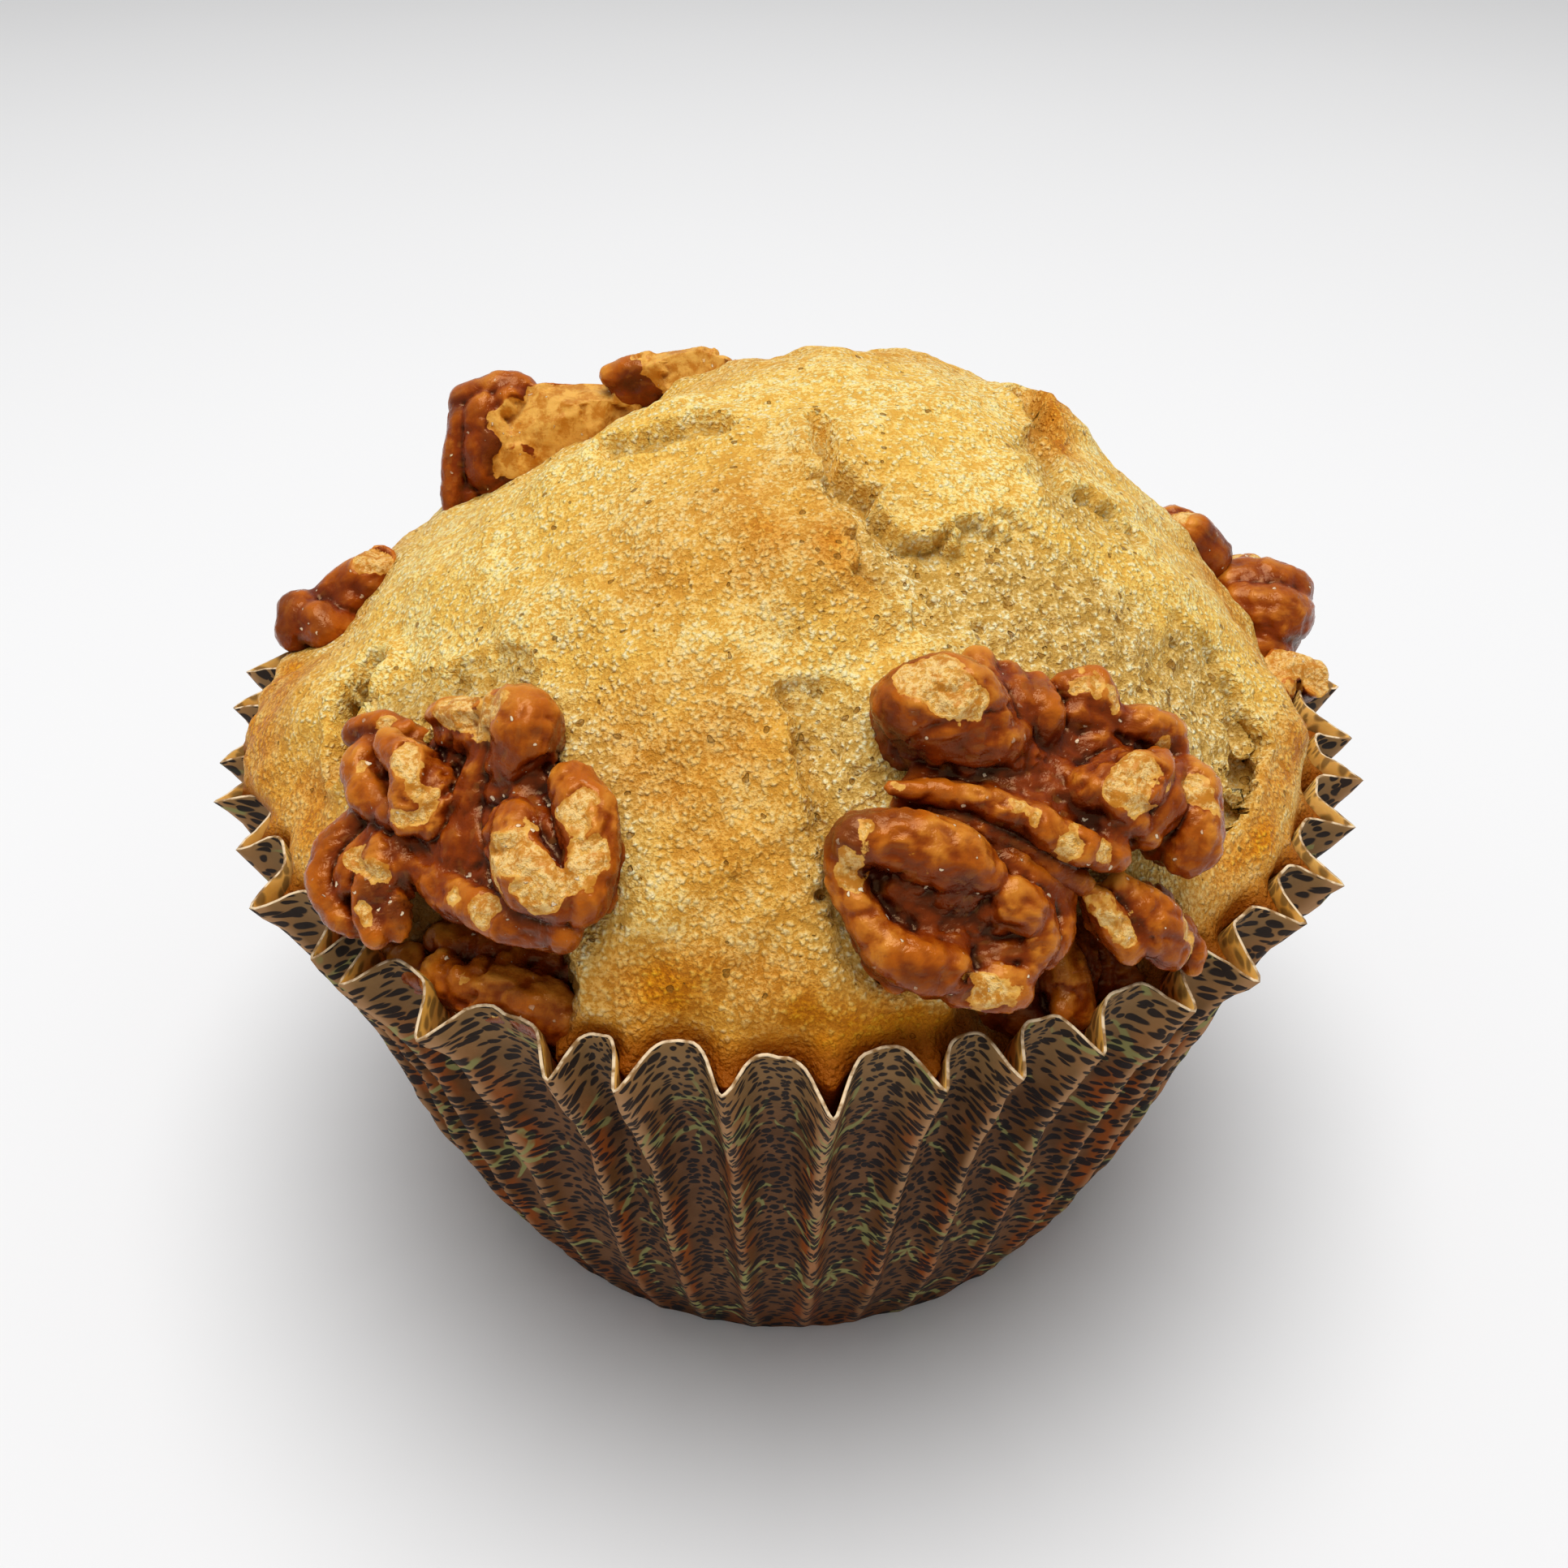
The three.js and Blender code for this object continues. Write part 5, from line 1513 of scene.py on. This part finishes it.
def paper_outside():
    f = Finish("printed_paper", 0.6, 0.08)
    mm = f.object_mm()
    sheet = sheet_place(f)
    height, outer, _ = f.shares("height_and_fold_shading")
    grease = f.noise(mm, 5.5, 3, 0.6)
    rust = f.mix(f.span(grease, 0.42, 0.6), (0.135, 0.052, 0.013), (0.29, 0.066, 0.008))
    mauve = f.mix(f.span(f.noise(mm, 2.5, 2), 0.35, 0.65), (0.118, 0.051, 0.020), (0.175, 0.078, 0.032))
    # painted shade: the inner folds are painted darker mauve than the outer creases; the grease noise varies
    # both at random
    ground = f.mix(f.span(outer, 0.62, 0.2), rust, mauve)
    ground = f.mix(f.math("MULTIPLY", f.span(height, 0.35, 0.0), 0.5), ground, (0.085, 0.030, 0.011))
    # paler tan near the rim, in patches
    near_rim = f.math("ADD", height, f.math("MULTIPLY", f.math("SUBTRACT", grease, 0.5), 0.3))
    ground = f.mix(f.math("MULTIPLY", f.span(near_rim, 0.74, 1.02), 0.8), ground, (0.34, 0.195, 0.075))
    # painted highlight along the outer creases, strongest near the rim
    crease = f.math("MULTIPLY", f.span(outer, 0.74, 1.0), f.span(height, 0.1, 0.9, 0.3, 0.95))
    ground = f.mix(crease, ground, (0.44, 0.235, 0.105))
    colour = f.mix(f.math("MULTIPLY", sprig_print(f, sheet), 0.8), ground, (0.29, 0.29, 0.10))
    colour = f.mix(f.math("MULTIPLY", spot_print(f, sheet, 0.06), 0.93), colour, (0.010, 0.009, 0.011))
    f.colour(colour)
    f.normal(f.bump(f.noise(mm, 0.5, 3, 0.6), 0.08, 0.5))
    return f.material


def paper_inside():
    f = Finish("greased_paper", 0.45, 0.2)
    f.shader.inputs["Specular Tint"].default_value = (1.0, 0.85, 0.6, 1)
    mm = f.object_mm()
    height, _, _ = f.shares("height_and_fold_shading")
    grease = f.noise(mm, 5, 3, 0.6)
    ground = f.mix(f.span(grease, 0.3, 0.7), (0.50, 0.25, 0.035), (0.74, 0.45, 0.115))
    ground = f.mix(f.span(height, 0.88, 0.68), ground, (0.36, 0.13, 0.014))
    spots = spot_print(f, sheet_place(f), 0.14)
    f.colour(f.mix(f.math("MULTIPLY", spots, 0.75), ground, (0.11, 0.055, 0.012)))
    f.normal(f.bump(f.noise(mm, 0.5, 3, 0.6), 0.08, 0.5))
    f.shader.inputs["Subsurface Weight"].default_value = 0.4
    f.shader.inputs["Subsurface Radius"].default_value = (1.0, 0.6, 0.25)
    f.shader.inputs["Subsurface Scale"].default_value = 0.6 * MM
    return f.material


def paper_rim():
    f = Finish("torn_paper_edge", 0.8, 0.15)
    mm = f.object_mm()
    f.colour(f.mix(f.span(f.noise(mm, 0.7, 3), 0.35, 0.6), (0.32, 0.17, 0.06), (0.86, 0.66, 0.42)))
    f.normal(f.bump(f.noise(mm, 0.2, 2), 0.05, 0.6))
    return f.material


def table_finish():
    f = Finish("table_top", 0.75, 0.2)
    mm = f.object_mm()
    f.colour(f.mix(f.noise(mm, 120, 1), (0.86, 0.86, 0.865), (0.88, 0.88, 0.885)))
    return f.material


# --------------------------------------------------------------------- stage
def make_stage():
    bpy.ops.mesh.primitive_plane_add(size=6)
    table = bpy.context.object
    table.name = "table"
    table.data.materials.append(table_finish())

    bpy.ops.object.light_add(type="AREA", location=(0, 0.01, 0.75))
    lamp = bpy.context.object
    lamp.name = "softbox"
    lamp.data.shape = "DISK"
    lamp.data.size = 0.55
    lamp.data.energy = 4.55
    lamp.rotation_euler = Vector((0, -0.01, -0.72)).to_track_quat("-Z", "Y").to_euler()

    world = bpy.data.worlds.new("studio")
    world.use_nodes = True
    air = world.node_tree.nodes["Background"]
    air.inputs["Color"].default_value = (1.0, 1.0, 1.0, 1)
    air.inputs["Strength"].default_value = 0.40
    bpy.context.scene.world = world
    bpy.context.scene.view_settings.view_transform = "Standard"


def make_camera():
    bpy.ops.object.camera_add(
        location=[side * MM for side in EYE], rotation=(math.radians(90 - LOOK_DOWN), 0, 0))
    camera = bpy.context.object
    camera.name = "camera"
    camera.data.sensor_width = SENSOR
    camera.data.lens = SENSOR * FOCAL_PIXELS / PICTURE_WIDTH
    camera.data.clip_start = 0.005
    bpy.context.scene.camera = camera


# ------------------------------------------------------------------ assembly
make_camera()
make_stage()
case = make_case((paper_outside(), paper_inside(), paper_rim()))
finish_piece(case, "case_paper", None, "paper_case")
husk = walnut_finish()
nuts = {node: raw_kernel(node, each) for node, each in KERNELS.items()}
sockets = [make_socket(nut) for nut in nuts.values()]
make_cake(crust_finish(), [kernel_beads(each) for each in KERNELS.values()], sockets)
for node, each in KERNELS.items():
    make_kernel(node, each, nuts[node], husk)
